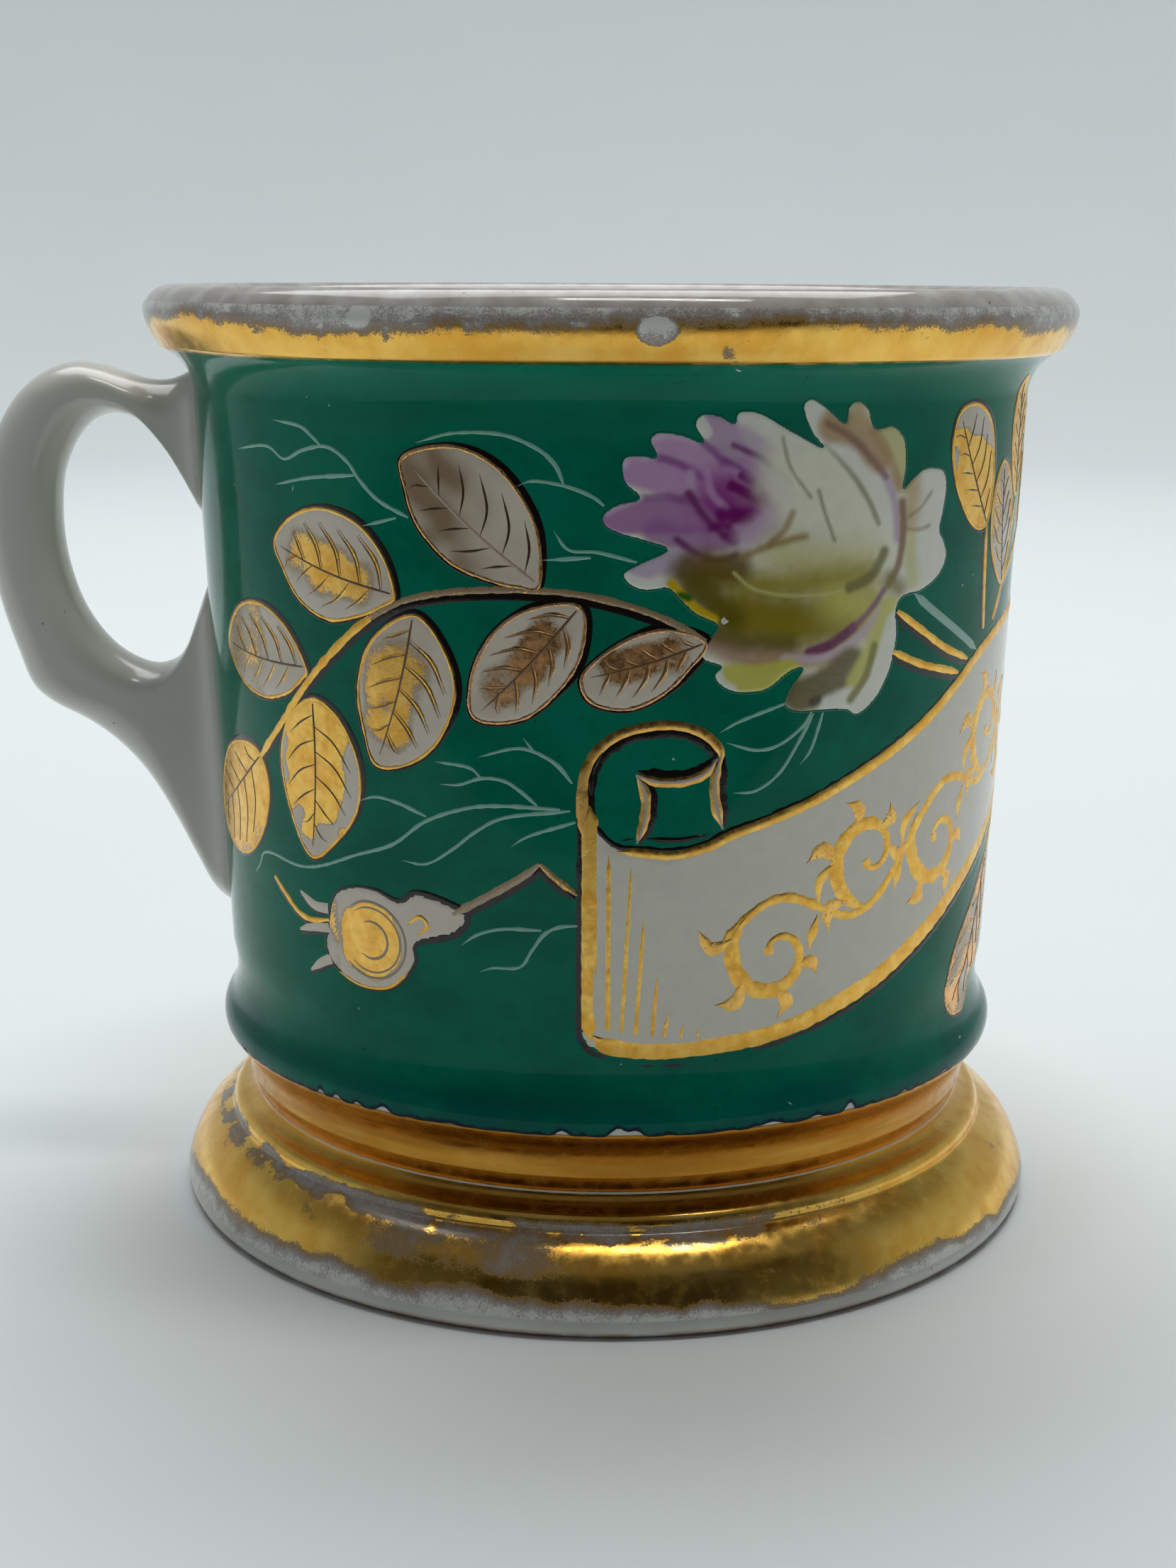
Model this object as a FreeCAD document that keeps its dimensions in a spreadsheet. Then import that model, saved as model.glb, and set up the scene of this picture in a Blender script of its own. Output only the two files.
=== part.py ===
import FreeCAD, Part
import math
import os
import Sketcher

# A porcelain shaving mug: a flared cup luted onto a spreading hollow foot, with an ear handle
# luted to its wall, and fired-on coats of green enamel, painting and gold.
# Frame: millimetres, +Z up, the mug's axis is Z, the foot ring stands on Z = 0,
# the handle points to -X and the decorated front faces -Y.

SIZES = (
    ("mug_height", 101.0, "table to the top of the lip"),
    ("lip_top_radius", 47.5, "radius of the lip's highest circle"),
    ("lip_inner_radius", 44.7, "where the lip turns down into the cup"),
    ("lip_inner_height", 98.4, ""),
    ("lip_outer_arc", 3.0, "rounding of the lip outside its crown"),
    ("lip_inner_arc", 3.2, "rounding of the lip inside its crown"),
    ("rim_radius", 50.25, "widest circle of the mouth"),
    ("rim_height", 98.3, ""),
    ("rim_arc", 7.0, "swell of the gilt band under the lip"),
    ("rim_low_radius", 48.5, "lower edge of the gilt band"),
    ("rim_low_height", 94.7, ""),
    ("flare_arc", 5.5, "hollow between the wall and the rim"),
    ("wall_top_radius", 45.2, "outside of the wall under the flare"),
    ("wall_top_height", 90.6, ""),
    ("wall_low_radius", 42.7, "outside of the wall above the bulge"),
    ("wall_low_height", 29.0, ""),
    ("shoulder_arc", 9.3, "hollow between the wall and the bulge"),
    ("bulge_top_radius", 43.0, "upper edge of the bulge"),
    ("bulge_top_height", 22.6, ""),
    ("bulge_arc", 2.7, "rounding of the bulge"),
    ("enamel_low_radius", 43.1, "lower edge of the green enamel"),
    ("enamel_low_height", 18.6, ""),
    ("cove_arc", 5.9, "hollow between the enamel and the step"),
    ("step_radius", 41.3, "sharp step in the gilt neck"),
    ("step_height", 14.2, ""),
    ("waist_radius", 40.5, "narrowest circle, where cup and foot meet"),
    ("cup_bottom_height", 12.4, "underside of the cup"),
    ("foot_top_height", 12.0, "top of the foot"),
    ("waist_arc", 2.6, "hollow between the waist and the bead"),
    ("bead_radius", 42.1, "top of the small bead on the foot"),
    ("bead_height", 10.8, ""),
    ("bead_arc", 1.2, ""),
    ("groove_radius", 43.2, "fine groove under the bead"),
    ("groove_height", 9.2, ""),
    ("swell_top_radius", 43.5, "top of the foot's large rounding"),
    ("swell_top_height", 8.9, ""),
    ("swell_arc", 8.0, "upper part of the large rounding"),
    ("gilding_low_radius", 47.9, "lower edge of the gold on the foot"),
    ("gilding_low_height", 4.4, ""),
    ("hem_arc", 9.0, "lower part of the large rounding"),
    ("foot_radius", 48.7, "widest circle of the foot"),
    ("foot_radius_height", 1.6, ""),
    ("toe_arc", 1.7, "rounding at the table"),
    ("toe_radius", 47.6, "outer edge of the resting ring"),
    ("ring_inner_radius", 44.6, "inner edge of the resting ring"),
    ("hollow_low_radius", 43.2, "mouth of the hollow under the foot"),
    ("hollow_low_height", 1.8, ""),
    ("hollow_arc", 11.0, "curve of the hollow's side"),
    ("hollow_top_radius", 34.5, "top of the hollow, where the seam is glued"),
    ("inner_top_radius", 41.7, "inside of the wall under the lip"),
    ("inner_top_height", 91.0, ""),
    ("throat_arc", 16.0, "hollow between the inside wall and the lip"),
    ("inner_low_radius", 39.1, "inside of the wall above the floor"),
    ("inner_low_height", 25.2, ""),
    ("floor_arc", 7.5, "rounding between wall and floor"),
    ("floor_edge_radius", 32.8, "edge of the flat floor"),
    ("floor_height", 17.9, "inside floor of the cup"),
    ("handle_width", 11.0, "across the handle, along Y"),
    ("handle_edge", 2.0, "rounding of the handle's long edges"),
    ("lute_thickness", 0.4, "slip in the joints"),
    ("enamel_thickness", 0.15, "fired enamel and painting"),
    ("gilding_thickness", 0.10, "fired gold"),
    ("bare_half_width", 8.4, "half width of the undecorated strip behind the handle"),
    ("bare_low_height", 26.0, ""),
    ("punch_depth", 60.0, "reach of the punches that cut the painted shapes"),
)

# Handle outline in the XZ plane, x and z. Both curves run on inside the wall, where they are trimmed.
HANDLE_BACK = (
    (-41.0, 94.2), (-46.6, 91.3), (-50.4, 90.6), (-54.2, 91.7), (-58.6, 92.6), (-62.8, 91.2),
    (-66.2, 87.7), (-68.5, 82.8), (-69.3, 77.0), (-68.9, 70.6), (-67.7, 64.6), (-65.4, 57.4),
    (-63.9, 55.6), (-61.2, 54.1), (-57.4, 51.9), (-53.7, 48.5), (-50.4, 43.9), (-47.6, 38.6),
    (-45.2, 34.0), (-43.4, 31.4), (-40.4, 29.8),
)
HANDLE_LOWER_INSIDE = ((-40.4, 71.3), (-43.2, 70.7), (-44.9, 68.0), (-46.0, 64.2), (-47.8, 60.5))
HANDLE_LOOP = (
    (-51.0, 58.8), (-55.2, 60.6), (-58.7, 64.9), (-60.6, 70.4), (-61.1, 76.2), (-60.3, 81.6),
    (-58.0, 85.4), (-54.5, 87.0), (-51.0, 85.9),
)
HANDLE_UPPER_INSIDE = ((-48.2, 83.0), (-46.3, 79.6), (-45.1, 76.6), (-43.6, 74.4), (-40.4, 73.2))

# Painted shapes lie on the wall unrolled: arc length from the front, positive towards +X,
# measured at the wall's mean radius, and height.
WALL_MEAN_RADIUS = 44.0

# Leaves: base, tip and full width.
LEAVES = (
    ((-21.2, 71.6), (-36.6, 77.6), 10.6),
    ((-8.0, 73.8), (-19.8, 86.4), 10.6),
    ((-32.6, 63.6), (-48.0, 67.4), 8.8),
    ((-42.2, 54.4), (-49.2, 42.2), 9.2),
    ((-31.0, 61.6), (-33.4, 44.4), 10.4),
    ((-18.6, 71.0), (-22.4, 55.0), 10.2),
    ((-2.8, 72.4), (-12.8, 60.6), 9.8),
    ((8.8, 68.6), (-2.8, 64.4), 7.6),
    ((44.0, 77.4), (41.0, 90.0), 8.8),
    ((54.4, 40.6), (48.6, 25.6), 8.0),
    ((51.0, 71.4), (47.4, 83.0), 7.6),
    ((55.0, 80.0), (54.0, 91.6), 7.6),
    ((60.0, 76.0), (68.4, 85.6), 8.4),
    ((70.0, 41.0), (78.0, 28.4), 8.6),
    ((84.0, 49.0), (96.0, 39.0), 9.4),
    ((86.0, 50.0), (82.0, 34.6), 9.0),
    ((98.0, 80.4), (88.0, 89.0), 9.0),
    ((112.0, 54.0), (104.0, 42.0), 9.4),
    ((114.0, 56.0), (122.0, 44.0), 9.4),
    ((-88.0, 52.0), (-84.0, 38.4), 8.8),
    ((-90.0, 60.0), (-83.0, 72.0), 8.8),
    ((-99.0, 70.0), (-90.0, 81.6), 9.6),
    ((-98.0, 66.0), (-103.0, 51.0), 10.2),
    ((-110.0, 73.0), (-105.0, 88.0), 10.0),
    ((-112.0, 72.0), (-118.0, 57.0), 10.2),
    ((-124.0, 70.0), (-131.0, 58.0), 9.4),
)
# One edge of a leaf: share of its length, and the half width there as a share of its width.
LEAF_SHAPE = ((0.0, 0.0), (0.22, 0.38), (0.52, 0.5), (0.82, 0.3), (1.0, 0.0))
ROSE = (
    (-1.0, 80.6), (1.2, 86.0), (7.4, 90.0), (13.0, 89.4), (18.0, 90.8), (23.2, 90.6), (28.0, 88.2),
    (31.6, 82.6), (35.6, 83.2), (36.2, 73.4), (32.2, 72.4), (29.6, 66.4), (24.4, 60.8),
    (17.0, 64.0), (13.2, 63.6), (9.8, 66.6), (5.2, 73.8), (1.0, 75.4),
)
# A rosebud lies level, its tip towards -X, drawn about its centre.
ROSEBUD = (
    (-6.4, -0.4), (-3.6, 4.2), (0.2, 5.2), (5.0, 3.6), (10.2, 4.9),
    (10.2, 3.2), (5.8, -0.8), (2.6, -3.8), (-2.6, -3.8),
)
ROSEBUD_CENTRES = ((-26.0, 36.8), (-108.0, 36.0))
# The ribbon: its curled front end, its long sweep round the +X side and its far end.
RIBBON_CURL = ((-3.1, 52.4), (-1.6, 58.2), (4.0, 60.9), (10.2, 59.2), (11.4, 50.4))
RIBBON_UPPER = ((11.4, 50.4), (23.9, 54.9), (35.9, 59.8), (46.0, 64.6), (58.0, 67.6), (69.0, 68.6))
RIBBON_LOWER = (
    (69.0, 48.6), (58.0, 45.0), (50.2, 40.4), (39.3, 35.3), (25.8, 29.3), (12.2, 27.0), (1.0, 27.4),
    (-3.1, 29.2),
)
RIBBON_FAR = ((69.0, 48.6), (84.0, 52.6), (99.0, 57.0), (114.0, 63.4), (124.0, 70.0))
RIBBON_FAR_END = ((124.0, 70.0), (127.0, 78.0), (123.0, 88.4), (113.0, 85.4))
RIBBON_FAR_TOP = ((113.0, 85.4), (99.0, 77.0), (84.0, 71.0), (69.0, 68.6))

doc = FreeCAD.newDocument("shaving_mug")
sheet = doc.addObject("Spreadsheet::Sheet", "sizes")


def fill_sheet():
    """One row for each driving dimension: its note, its size and its alias."""
    for row, (alias, size, note) in enumerate(SIZES, start=1):
        sheet.set("A%d" % row, note or alias.replace("_", " "))
        sheet.set("B%d" % row, str(size))
        sheet.setAlias("B%d" % row, alias)
    doc.recompute()


def amount(sum_text):
    """Value of a sum of aliases such as 'wall_radius + coat'."""
    total = 0.0
    sign = 1.0
    for token in sum_text.split():
        if token in "+-":
            sign = 1.0 if token == "+" else -1.0
        else:
            total += sign * sheet.get(token)
    return total


def bound(sum_text):
    """The same sum as an expression on the sheet."""
    return " ".join(t if t in "+-" else "sizes." + t for t in sum_text.split())


def plane_of(body, role):
    """One of a body's own origin planes."""
    return [item for item in body.Origin.OriginFeatures if item.Role == role][0]


def new_sketch(body, name, role):
    """A sketch on one of the body's origin planes."""
    sketch = body.newObject("Sketcher::SketchObject", name)
    sketch.AttachmentSupport = [(plane_of(body, role), "")]
    sketch.MapMode = "FlatFace"
    doc.recompute()
    return sketch


def pin_value(sketch, kind, places, text):
    """Add a dimension and tie it to the sheet."""
    index = sketch.addConstraint(Sketcher.Constraint(kind, *places, amount(text)))
    sketch.setExpression("Constraints[%d]" % index, bound(text))


def arc_between(start, end, radius, convex):
    """Arc from start to end; a convex one turns left along the outline, a hollow one right."""
    middle = (start + end) * 0.5
    chord = end - start
    side = FreeCAD.Vector(-chord.y, chord.x, 0).normalize()
    rise = math.sqrt(radius ** 2 - (chord.Length / 2) ** 2)
    centre = middle + side * (rise if convex else -rise)
    first, last = (start, end) if convex else (end, start)
    angles = [math.atan2(p.y - centre.y, p.x - centre.x) for p in (first, last)]
    circle = Part.Circle(centre, FreeCAD.Vector(0, 0, 1), radius)
    return Part.ArcOfCircle(circle, angles[0], angles[1])


def draw_outline(sketch, corners):
    """Closed outline. Each corner is (radius, height, run), where an empty radius is the axis, an
    empty height is the table, and run is how the outline goes on to the next corner: 'line', or
    ('convex' or 'hollow', radius)."""
    points = [FreeCAD.Vector(amount(r), amount(z), 0) for r, z, run in corners]
    ends = []
    for index, (r, z, run) in enumerate(corners):
        start = points[index]
        end = points[(index + 1) % len(points)]
        if run == "line":
            sketch.addGeometry(Part.LineSegment(start, end), False)
            ends.append((1, 2))
        else:
            turn, arc_text = run
            convex = turn == "convex"
            sketch.addGeometry(arc_between(start, end, amount(arc_text), convex), False)
            ends.append((1, 2) if convex else (2, 1))
    for index, (r, z, run) in enumerate(corners):
        following = (index + 1) % len(corners)
        joint = (index, ends[index][1], following, ends[following][0])
        sketch.addConstraint(Sketcher.Constraint("Coincident", *joint))
        for kind, text, axis in (("DistanceX", r, -2), ("DistanceY", z, -1)):
            if text:
                pin_value(sketch, kind, (-1, 1, index, ends[index][0]), text)
            else:
                on_axis = ("PointOnObject", index, ends[index][0], axis)
                sketch.addConstraint(Sketcher.Constraint(*on_axis))
        if run != "line":
            pin_value(sketch, "Radius", (index,), run[1])


def turned_body(name, corners):
    """A body of revolution about Z from an outline of radii and heights."""
    body = doc.addObject("PartDesign::Body", name)
    body.Label = name
    sketch = new_sketch(body, name + "_outline", "XZ_Plane")
    draw_outline(sketch, corners)
    turn = body.newObject("PartDesign::Revolution", name + "_turn")
    turn.Profile = sketch
    turn.ReferenceAxis = (sketch, ["V_Axis"])
    turn.Angle = 360
    doc.recompute()
    return body


def swollen(corners, coat):
    """The same corners moved outwards by a coat's thickness, if there is one."""
    return [(r + " + " + coat if coat else r, z, run) for r, z, run in corners]


def reversed_path(corners):
    """An open path walked backwards: its runs change places and turn the other way."""
    flip = {"convex": "hollow", "hollow": "convex"}
    path = []
    for index in range(len(corners) - 1, -1, -1):
        run = corners[index - 1][2] if index else "line"
        if run != "line":
            run = (flip[run[0]], run[1])
        path.append((corners[index][0], corners[index][1], run))
    return path


def coat_body(name, path, coat):
    """A thin shell of revolution that lies on the given stretch of the outside."""
    outside = swollen(path, coat)
    outside[-1] = (outside[-1][0], outside[-1][1], "line")
    return turned_body(name, outside + reversed_path(path))


def neck_path():
    """Outside of the gilt neck, from the waist up to the enamel."""
    return [
        ("waist_radius", "cup_bottom_height", "line"),
        ("step_radius", "step_height", ("hollow", "cove_arc")),
    ]


def wall_path():
    """Outside of the cup, from the enamel's lower edge up to the rim."""
    return [
        ("enamel_low_radius", "enamel_low_height", ("convex", "bulge_arc")),
        ("bulge_top_radius", "bulge_top_height", ("hollow", "shoulder_arc")),
        ("wall_low_radius", "wall_low_height", "line"),
        ("wall_top_radius", "wall_top_height", ("hollow", "flare_arc")),
        ("rim_low_radius", "rim_low_height", ("convex", "rim_arc")),
    ]


def foot_path():
    """Outside of the foot, from the edge of the gold up to the waist."""
    return [
        ("gilding_low_radius", "gilding_low_height", ("convex", "swell_arc")),
        ("swell_top_radius", "swell_top_height", "line"),
        ("groove_radius", "groove_height", ("convex", "bead_arc")),
        ("bead_radius", "bead_height", ("hollow", "waist_arc")),
        ("waist_radius", "foot_top_height", "line"),
    ]


def make_cup():
    """The cup: a thick floor, a slightly flaring wall and a rolled lip."""
    lip_and_inside = [
        ("rim_radius", "rim_height", ("convex", "lip_outer_arc")),
        ("lip_top_radius", "mug_height", ("convex", "lip_inner_arc")),
        ("lip_inner_radius", "lip_inner_height", ("convex", "throat_arc")),
        ("inner_top_radius", "inner_top_height", "line"),
        ("inner_low_radius", "inner_low_height", ("hollow", "floor_arc")),
        ("floor_edge_radius", "floor_height", "line"),
        ("", "floor_height", "line"),
        ("", "cup_bottom_height", "line"),
    ]
    return turned_body("cup_body", neck_path() + wall_path() + lip_and_inside)


def make_foot():
    """The spreading foot: a ring of quarter-round section, hollow underneath."""
    underside = [
        ("hollow_top_radius", "foot_top_height", ("hollow", "hollow_arc")),
        ("hollow_low_radius", "hollow_low_height", "line"),
        ("ring_inner_radius", "", "line"),
        ("toe_radius", "", ("convex", "toe_arc")),
        ("foot_radius", "foot_radius_height", ("convex", "hem_arc")),
    ]
    return turned_body("foot", underside + foot_path())


def make_foot_lute():
    """The slip that joins the cup to the foot, a flat washer."""
    return turned_body("foot_lute", [
        ("hollow_top_radius", "foot_top_height", "line"),
        ("waist_radius", "foot_top_height", "line"),
        ("waist_radius", "cup_bottom_height", "line"),
        ("hollow_top_radius", "cup_bottom_height", "line"),
    ])


def spline(points):
    """An open curve through points."""
    curve = Part.BSplineCurve()
    curve.interpolate([FreeCAD.Vector(x, z, 0) for x, z in points])
    return curve


def make_handle_blank():
    """The handle before its ends are trimmed to the wall."""
    body = doc.addObject("PartDesign::Body", "handle_blank")
    sketch = new_sketch(body, "handle_outline", "XZ_Plane")
    inside = HANDLE_LOWER_INSIDE + HANDLE_LOOP + HANDLE_UPPER_INSIDE
    sketch.addGeometry(spline(HANDLE_BACK), False)
    ends = [FreeCAD.Vector(x, z, 0) for x, z in (HANDLE_BACK[-1], inside[0])]
    sketch.addGeometry(Part.LineSegment(*ends), False)
    sketch.addGeometry(spline(inside), False)
    ends = [FreeCAD.Vector(x, z, 0) for x, z in (inside[-1], HANDLE_BACK[0])]
    sketch.addGeometry(Part.LineSegment(*ends), False)
    for index in range(4):
        joint = (index, 2, (index + 1) % 4, 1)
        sketch.addConstraint(Sketcher.Constraint("Coincident", *joint))
    pad = body.newObject("PartDesign::Pad", "handle_pad")
    pad.Profile = sketch
    pad.SideType = "Symmetric"
    pad.setExpression("Length", bound("handle_width"))
    doc.recompute()
    long_edges = [
        "Edge%d" % (number + 1)
        for number, edge in enumerate(pad.Shape.Edges)
        if edge.Curve.TypeId == "Part::GeomBSplineCurve"
    ]
    rounding = body.newObject("PartDesign::Fillet", "handle_rounding")
    rounding.Base = (pad, long_edges)
    rounding.setExpression("Radius", bound("handle_edge"))
    doc.recompute()
    return body


def wall_plug(name, coat):
    """Everything inside the cup's outside surface, with a coat added."""
    path = wall_path()[2:]
    path[-1] = (path[-1][0], path[-1][1], "line")
    plug = swollen(path, coat)
    return turned_body(name, plug + [("", "rim_low_height", "line"), ("", "wall_low_height", "line")])


def boolean(kind, name, base, tool):
    """A cut or common of two objects."""
    result = doc.addObject("Part::" + kind, name)
    result.Label = name
    result.Base = base
    result.Tool = tool
    doc.recompute()
    return result


def joined(name, pieces):
    """Several solids as one object."""
    result = doc.addObject("Part::MultiFuse", name)
    result.Label = name
    result.Shapes = pieces
    doc.recompute()
    return result


def block_at_handle(name, half_width, low, high):
    """A block that holds the part of the mug on the handle's side, between two heights."""
    block = doc.addObject("Part::Box", name)
    reach = amount("rim_radius + handle_width + handle_width")
    block.setExpression("Length", bound("rim_radius + handle_width + handle_width"))
    block.Width = 2 * half_width
    block.Height = high - low
    block.Placement.Base = FreeCAD.Vector(-reach, -half_width, low)
    doc.recompute()
    return block


def make_handle():
    """The handle and the two slip joints that hold it to the wall."""
    blank = make_handle_blank()
    luted_plug = wall_plug("luted_wall_plug", "lute_thickness")
    handle = boolean("Cut", "handle", blank, luted_plug)
    seated = boolean("Common", "seated_ends", blank, luted_plug)
    slip = boolean("Cut", "slip", seated, wall_plug("wall_plug", ""))
    # The finger loop reaches the wall between the two ends, so its middle divides the slip.
    middle = (HANDLE_LOWER_INSIDE[0][1] + HANDLE_UPPER_INSIDE[-1][1]) / 2
    half_width = amount("handle_width")
    below = block_at_handle("below_loop", half_width, 0.0, middle)
    above = block_at_handle("above_loop", half_width, middle, amount("mug_height"))
    lower = boolean("Common", "handle_lower_lute", slip, below)
    upper = boolean("Common", "handle_upper_lute", slip, above)
    return [handle, lower, upper]


def punch(name, curves):
    """A punch that reaches from the axis out through the wall, facing the shape's middle. Each
    curve is a run of points that starts where the one before ends."""
    along = [s for curve in curves for s, z in curve]
    facing = (min(along) + max(along)) / 2 / WALL_MEAN_RADIUS
    body = doc.addObject("PartDesign::Body", name)
    sketch = new_sketch(body, name + "_outline", "XZ_Plane")
    for curve in curves:
        flat = [(WALL_MEAN_RADIUS * math.sin(s / WALL_MEAN_RADIUS - facing), z) for s, z in curve]
        if len(flat) == 2:
            ends = [FreeCAD.Vector(x, z, 0) for x, z in flat]
            sketch.addGeometry(Part.LineSegment(*ends), False)
        else:
            sketch.addGeometry(spline(flat), False)
    count = len(curves)
    for index in range(count):
        joint = (index, 2, (index + 1) % count, 1)
        sketch.addConstraint(Sketcher.Constraint("Coincident", *joint))
    pad = body.newObject("PartDesign::Pad", name + "_pad")
    pad.Profile = sketch
    pad.setExpression("Length", bound("punch_depth"))
    turn = FreeCAD.Rotation(FreeCAD.Vector(0, 0, 1), math.degrees(facing))
    body.Placement = FreeCAD.Placement(FreeCAD.Vector(0, 0, 0), turn)
    doc.recompute()
    return body


def leaf_curves(base, tip, width):
    """The two edges of a leaf, each a curve from one end to the other."""
    along = (tip[0] - base[0], tip[1] - base[1])
    length = math.hypot(*along)
    across = (-along[1] / length, along[0] / length)

    def edge(side):
        return [
            (
                base[0] + t * along[0] + side * w * width * across[0],
                base[1] + t * along[1] + side * w * width * across[1],
            )
            for t, w in LEAF_SHAPE
        ]

    return [edge(1), edge(-1)[::-1]]


def closed_through(points):
    """The straight sides of a polygon, one curve each."""
    return [(points[i], points[(i + 1) % len(points)]) for i in range(len(points))]


def make_punches():
    """One punch for each painted shape, joined by kind."""
    leaves = [
        punch("leaf_punch_%02d" % number, leaf_curves(*leaf))
        for number, leaf in enumerate(LEAVES, start=1)
    ]
    buds = []
    for number, (s, z) in enumerate(ROSEBUD_CENTRES, start=1):
        outline = [(s + ds, z + dz) for ds, dz in ROSEBUD]
        buds.append(punch("rosebud_punch_%d" % number, closed_through(outline)))
    near_end = [RIBBON_CURL, RIBBON_UPPER, (RIBBON_UPPER[-1], RIBBON_LOWER[0]), RIBBON_LOWER]
    near_end.append((RIBBON_LOWER[-1], RIBBON_CURL[0]))
    far_end = [RIBBON_FAR, RIBBON_FAR_END, RIBBON_FAR_TOP, (RIBBON_FAR_TOP[-1], RIBBON_FAR[0])]
    ribbon = [punch("ribbon_punch_near", near_end), punch("ribbon_punch_far", far_end)]
    return {
        "leaf_sprays": joined("leaf_punches", leaves),
        "rosebuds": joined("rosebud_punches", buds),
        "name_ribbon": joined("ribbon_punches", ribbon),
        "rose": punch("rose_punch", closed_through(ROSE)),
    }


def make_coats():
    """The fired coats: green enamel, the painted shapes left free in it, and the gold bands."""
    coat = coat_body("enamel_coat", wall_path(), "enamel_thickness")
    bare = block_at_handle(
        "bare_strip", amount("bare_half_width"), amount("bare_low_height"), amount("mug_height")
    )
    punches = make_punches()
    ground = boolean("Cut", "ground_behind_handle", coat, bare)
    painted = []
    for name, tool in punches.items():
        painted.append(boolean("Common", name, coat, tool))
    ground = boolean("Cut", "green_ground", ground, joined("all_punches", list(punches.values())))
    rim = wall_path()[-1:] + [("rim_radius", "rim_height", "line")]
    rim_gold = coat_body("rim_gilding", rim, "gilding_thickness")
    neck = neck_path() + [("enamel_low_radius", "enamel_low_height", "line")]
    foot_gold = coat_body("foot_gilding", foot_path() + neck, "gilding_thickness")
    return [ground, rim_gold, foot_gold] + painted


def check_document(pieces):
    """Stop if anything in the document failed or a piece is not a sound solid."""
    for item in doc.Objects:
        if "Invalid" in item.State or "Error" in item.State:
            raise RuntimeError("%s failed: %s" % (item.Name, item.State))
    for piece in pieces:
        shape = piece.Shape
        if shape.isNull() or not shape.isValid() or not shape.Solids:
            raise RuntimeError("%s is not a sound solid" % piece.Label)


def main():
    fill_sheet()
    pieces = [make_cup(), make_foot(), make_foot_lute()] + make_handle() + make_coats()
    doc.recompute()
    check_document(pieces)
    os.makedirs("parts", exist_ok=True)
    for piece in pieces:
        piece.Shape.exportStep("parts/%s.step" % piece.Label)
        box = piece.Shape.BoundBox
        print("%-18s %d solids %10.1f mm3  x %.1f..%.1f  z %.1f..%.1f" % (
            piece.Label, len(piece.Shape.Solids), piece.Shape.Volume,
            box.XMin, box.XMax, box.ZMin, box.ZMax))


main()
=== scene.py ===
import math
import random

import bpy
import numpy as np
from mathutils import Matrix, Vector, noise
from mathutils.geometry import delaunay_2d_cdt


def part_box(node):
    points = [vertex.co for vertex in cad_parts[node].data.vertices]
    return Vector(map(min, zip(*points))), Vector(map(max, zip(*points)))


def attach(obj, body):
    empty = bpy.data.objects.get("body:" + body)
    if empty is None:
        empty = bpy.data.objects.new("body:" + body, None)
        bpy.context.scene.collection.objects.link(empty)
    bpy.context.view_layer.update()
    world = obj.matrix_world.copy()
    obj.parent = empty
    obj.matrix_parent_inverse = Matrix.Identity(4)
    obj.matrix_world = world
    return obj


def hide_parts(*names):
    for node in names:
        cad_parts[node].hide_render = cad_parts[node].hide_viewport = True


# A porcelain shaving mug with green enamel, a painted rose, gilt leaves and a gilt-edged ribbon.
# Lengths are in millimetres until a mesh is made. The front faces -Y and the handle points to -X.
# Painted shapes lie on the wall unrolled: (arc, height), where arc is measured at WALL_RADIUS
# from the front and is positive towards +X.

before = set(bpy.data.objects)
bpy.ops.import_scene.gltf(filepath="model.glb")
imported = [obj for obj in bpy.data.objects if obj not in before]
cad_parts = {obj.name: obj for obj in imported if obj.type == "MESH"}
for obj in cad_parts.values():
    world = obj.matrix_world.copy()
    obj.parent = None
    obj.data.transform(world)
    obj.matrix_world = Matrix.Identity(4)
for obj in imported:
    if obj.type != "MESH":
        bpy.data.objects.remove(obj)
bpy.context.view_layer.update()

MM = 0.001
WALL_RADIUS = 44.0
COLUMNS = 320
SEED = 7
rng = random.Random(SEED)

# Heights and radii shared by several pieces.
HANDLE_HALF_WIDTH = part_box("handle")[1].y / MM
ENAMEL_LOW = 19.4
ENAMEL_TOP = 94.7
ENAMEL_LIFT = 0.15
GOLD_LIFT = 0.10
# How thick the enamel and gold shells are, as a share of how far they stand out.
ENAMEL_SHARE = 0.9
GOLD_SHARE = 0.8
WAIST_HEIGHT = 12.0
CUP_BOTTOM = 12.4
CUP_FLOOR = 17.9
FOOT_HOLLOW = 34.5
NECK_RADIUS = 40.5
GROOVE_HEIGHT = 9.2
# The stretch of wall left without enamel behind the handle, which stands at this azimuth.
HANDLE_AZIMUTH = 1.5 * math.pi
BARE_HALF_WIDTH = 8.4
BARE_LOW = 26.0

# Outlines: corners (radius, height, run to the next corner). A run of 0 is straight, a positive
# one an arc that swells outwards, a negative one a hollow arc.
FOOT_UNDER = (
    (FOOT_HOLLOW, WAIST_HEIGHT, -11.0), (43.2, 1.8, 0), (44.6, 0.0, 0), (47.6, 0.0, 1.7),
    (48.7, 1.6, 9.0),
)
FOOT_SIDE = (
    (47.9, 4.4, 8.0), (43.5, 8.9, 0), (43.2, GROOVE_HEIGHT, 1.2), (42.1, 10.8, -2.6),
    (NECK_RADIUS, WAIST_HEIGHT, 0),
)
NECK = ((NECK_RADIUS, CUP_BOTTOM, 0), (41.3, 14.2, -5.9))
WALL = (
    (43.1, 18.6, 2.7), (43.0, 22.6, -9.3), (42.7, 29.0, 0), (45.2, 90.6, -5.5),
    (48.5, ENAMEL_TOP, 7.0),
)
LIP = ((50.25, 98.3, 3.0), (47.5, 101.0, 3.2), (44.7, 98.4, 16.0))
INSIDE = ((41.7, 91.0, 0), (39.1, 25.2, -7.5), (32.8, CUP_FLOOR, 0))


# ---------------------------------------------------------------- curves and outlines

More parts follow.
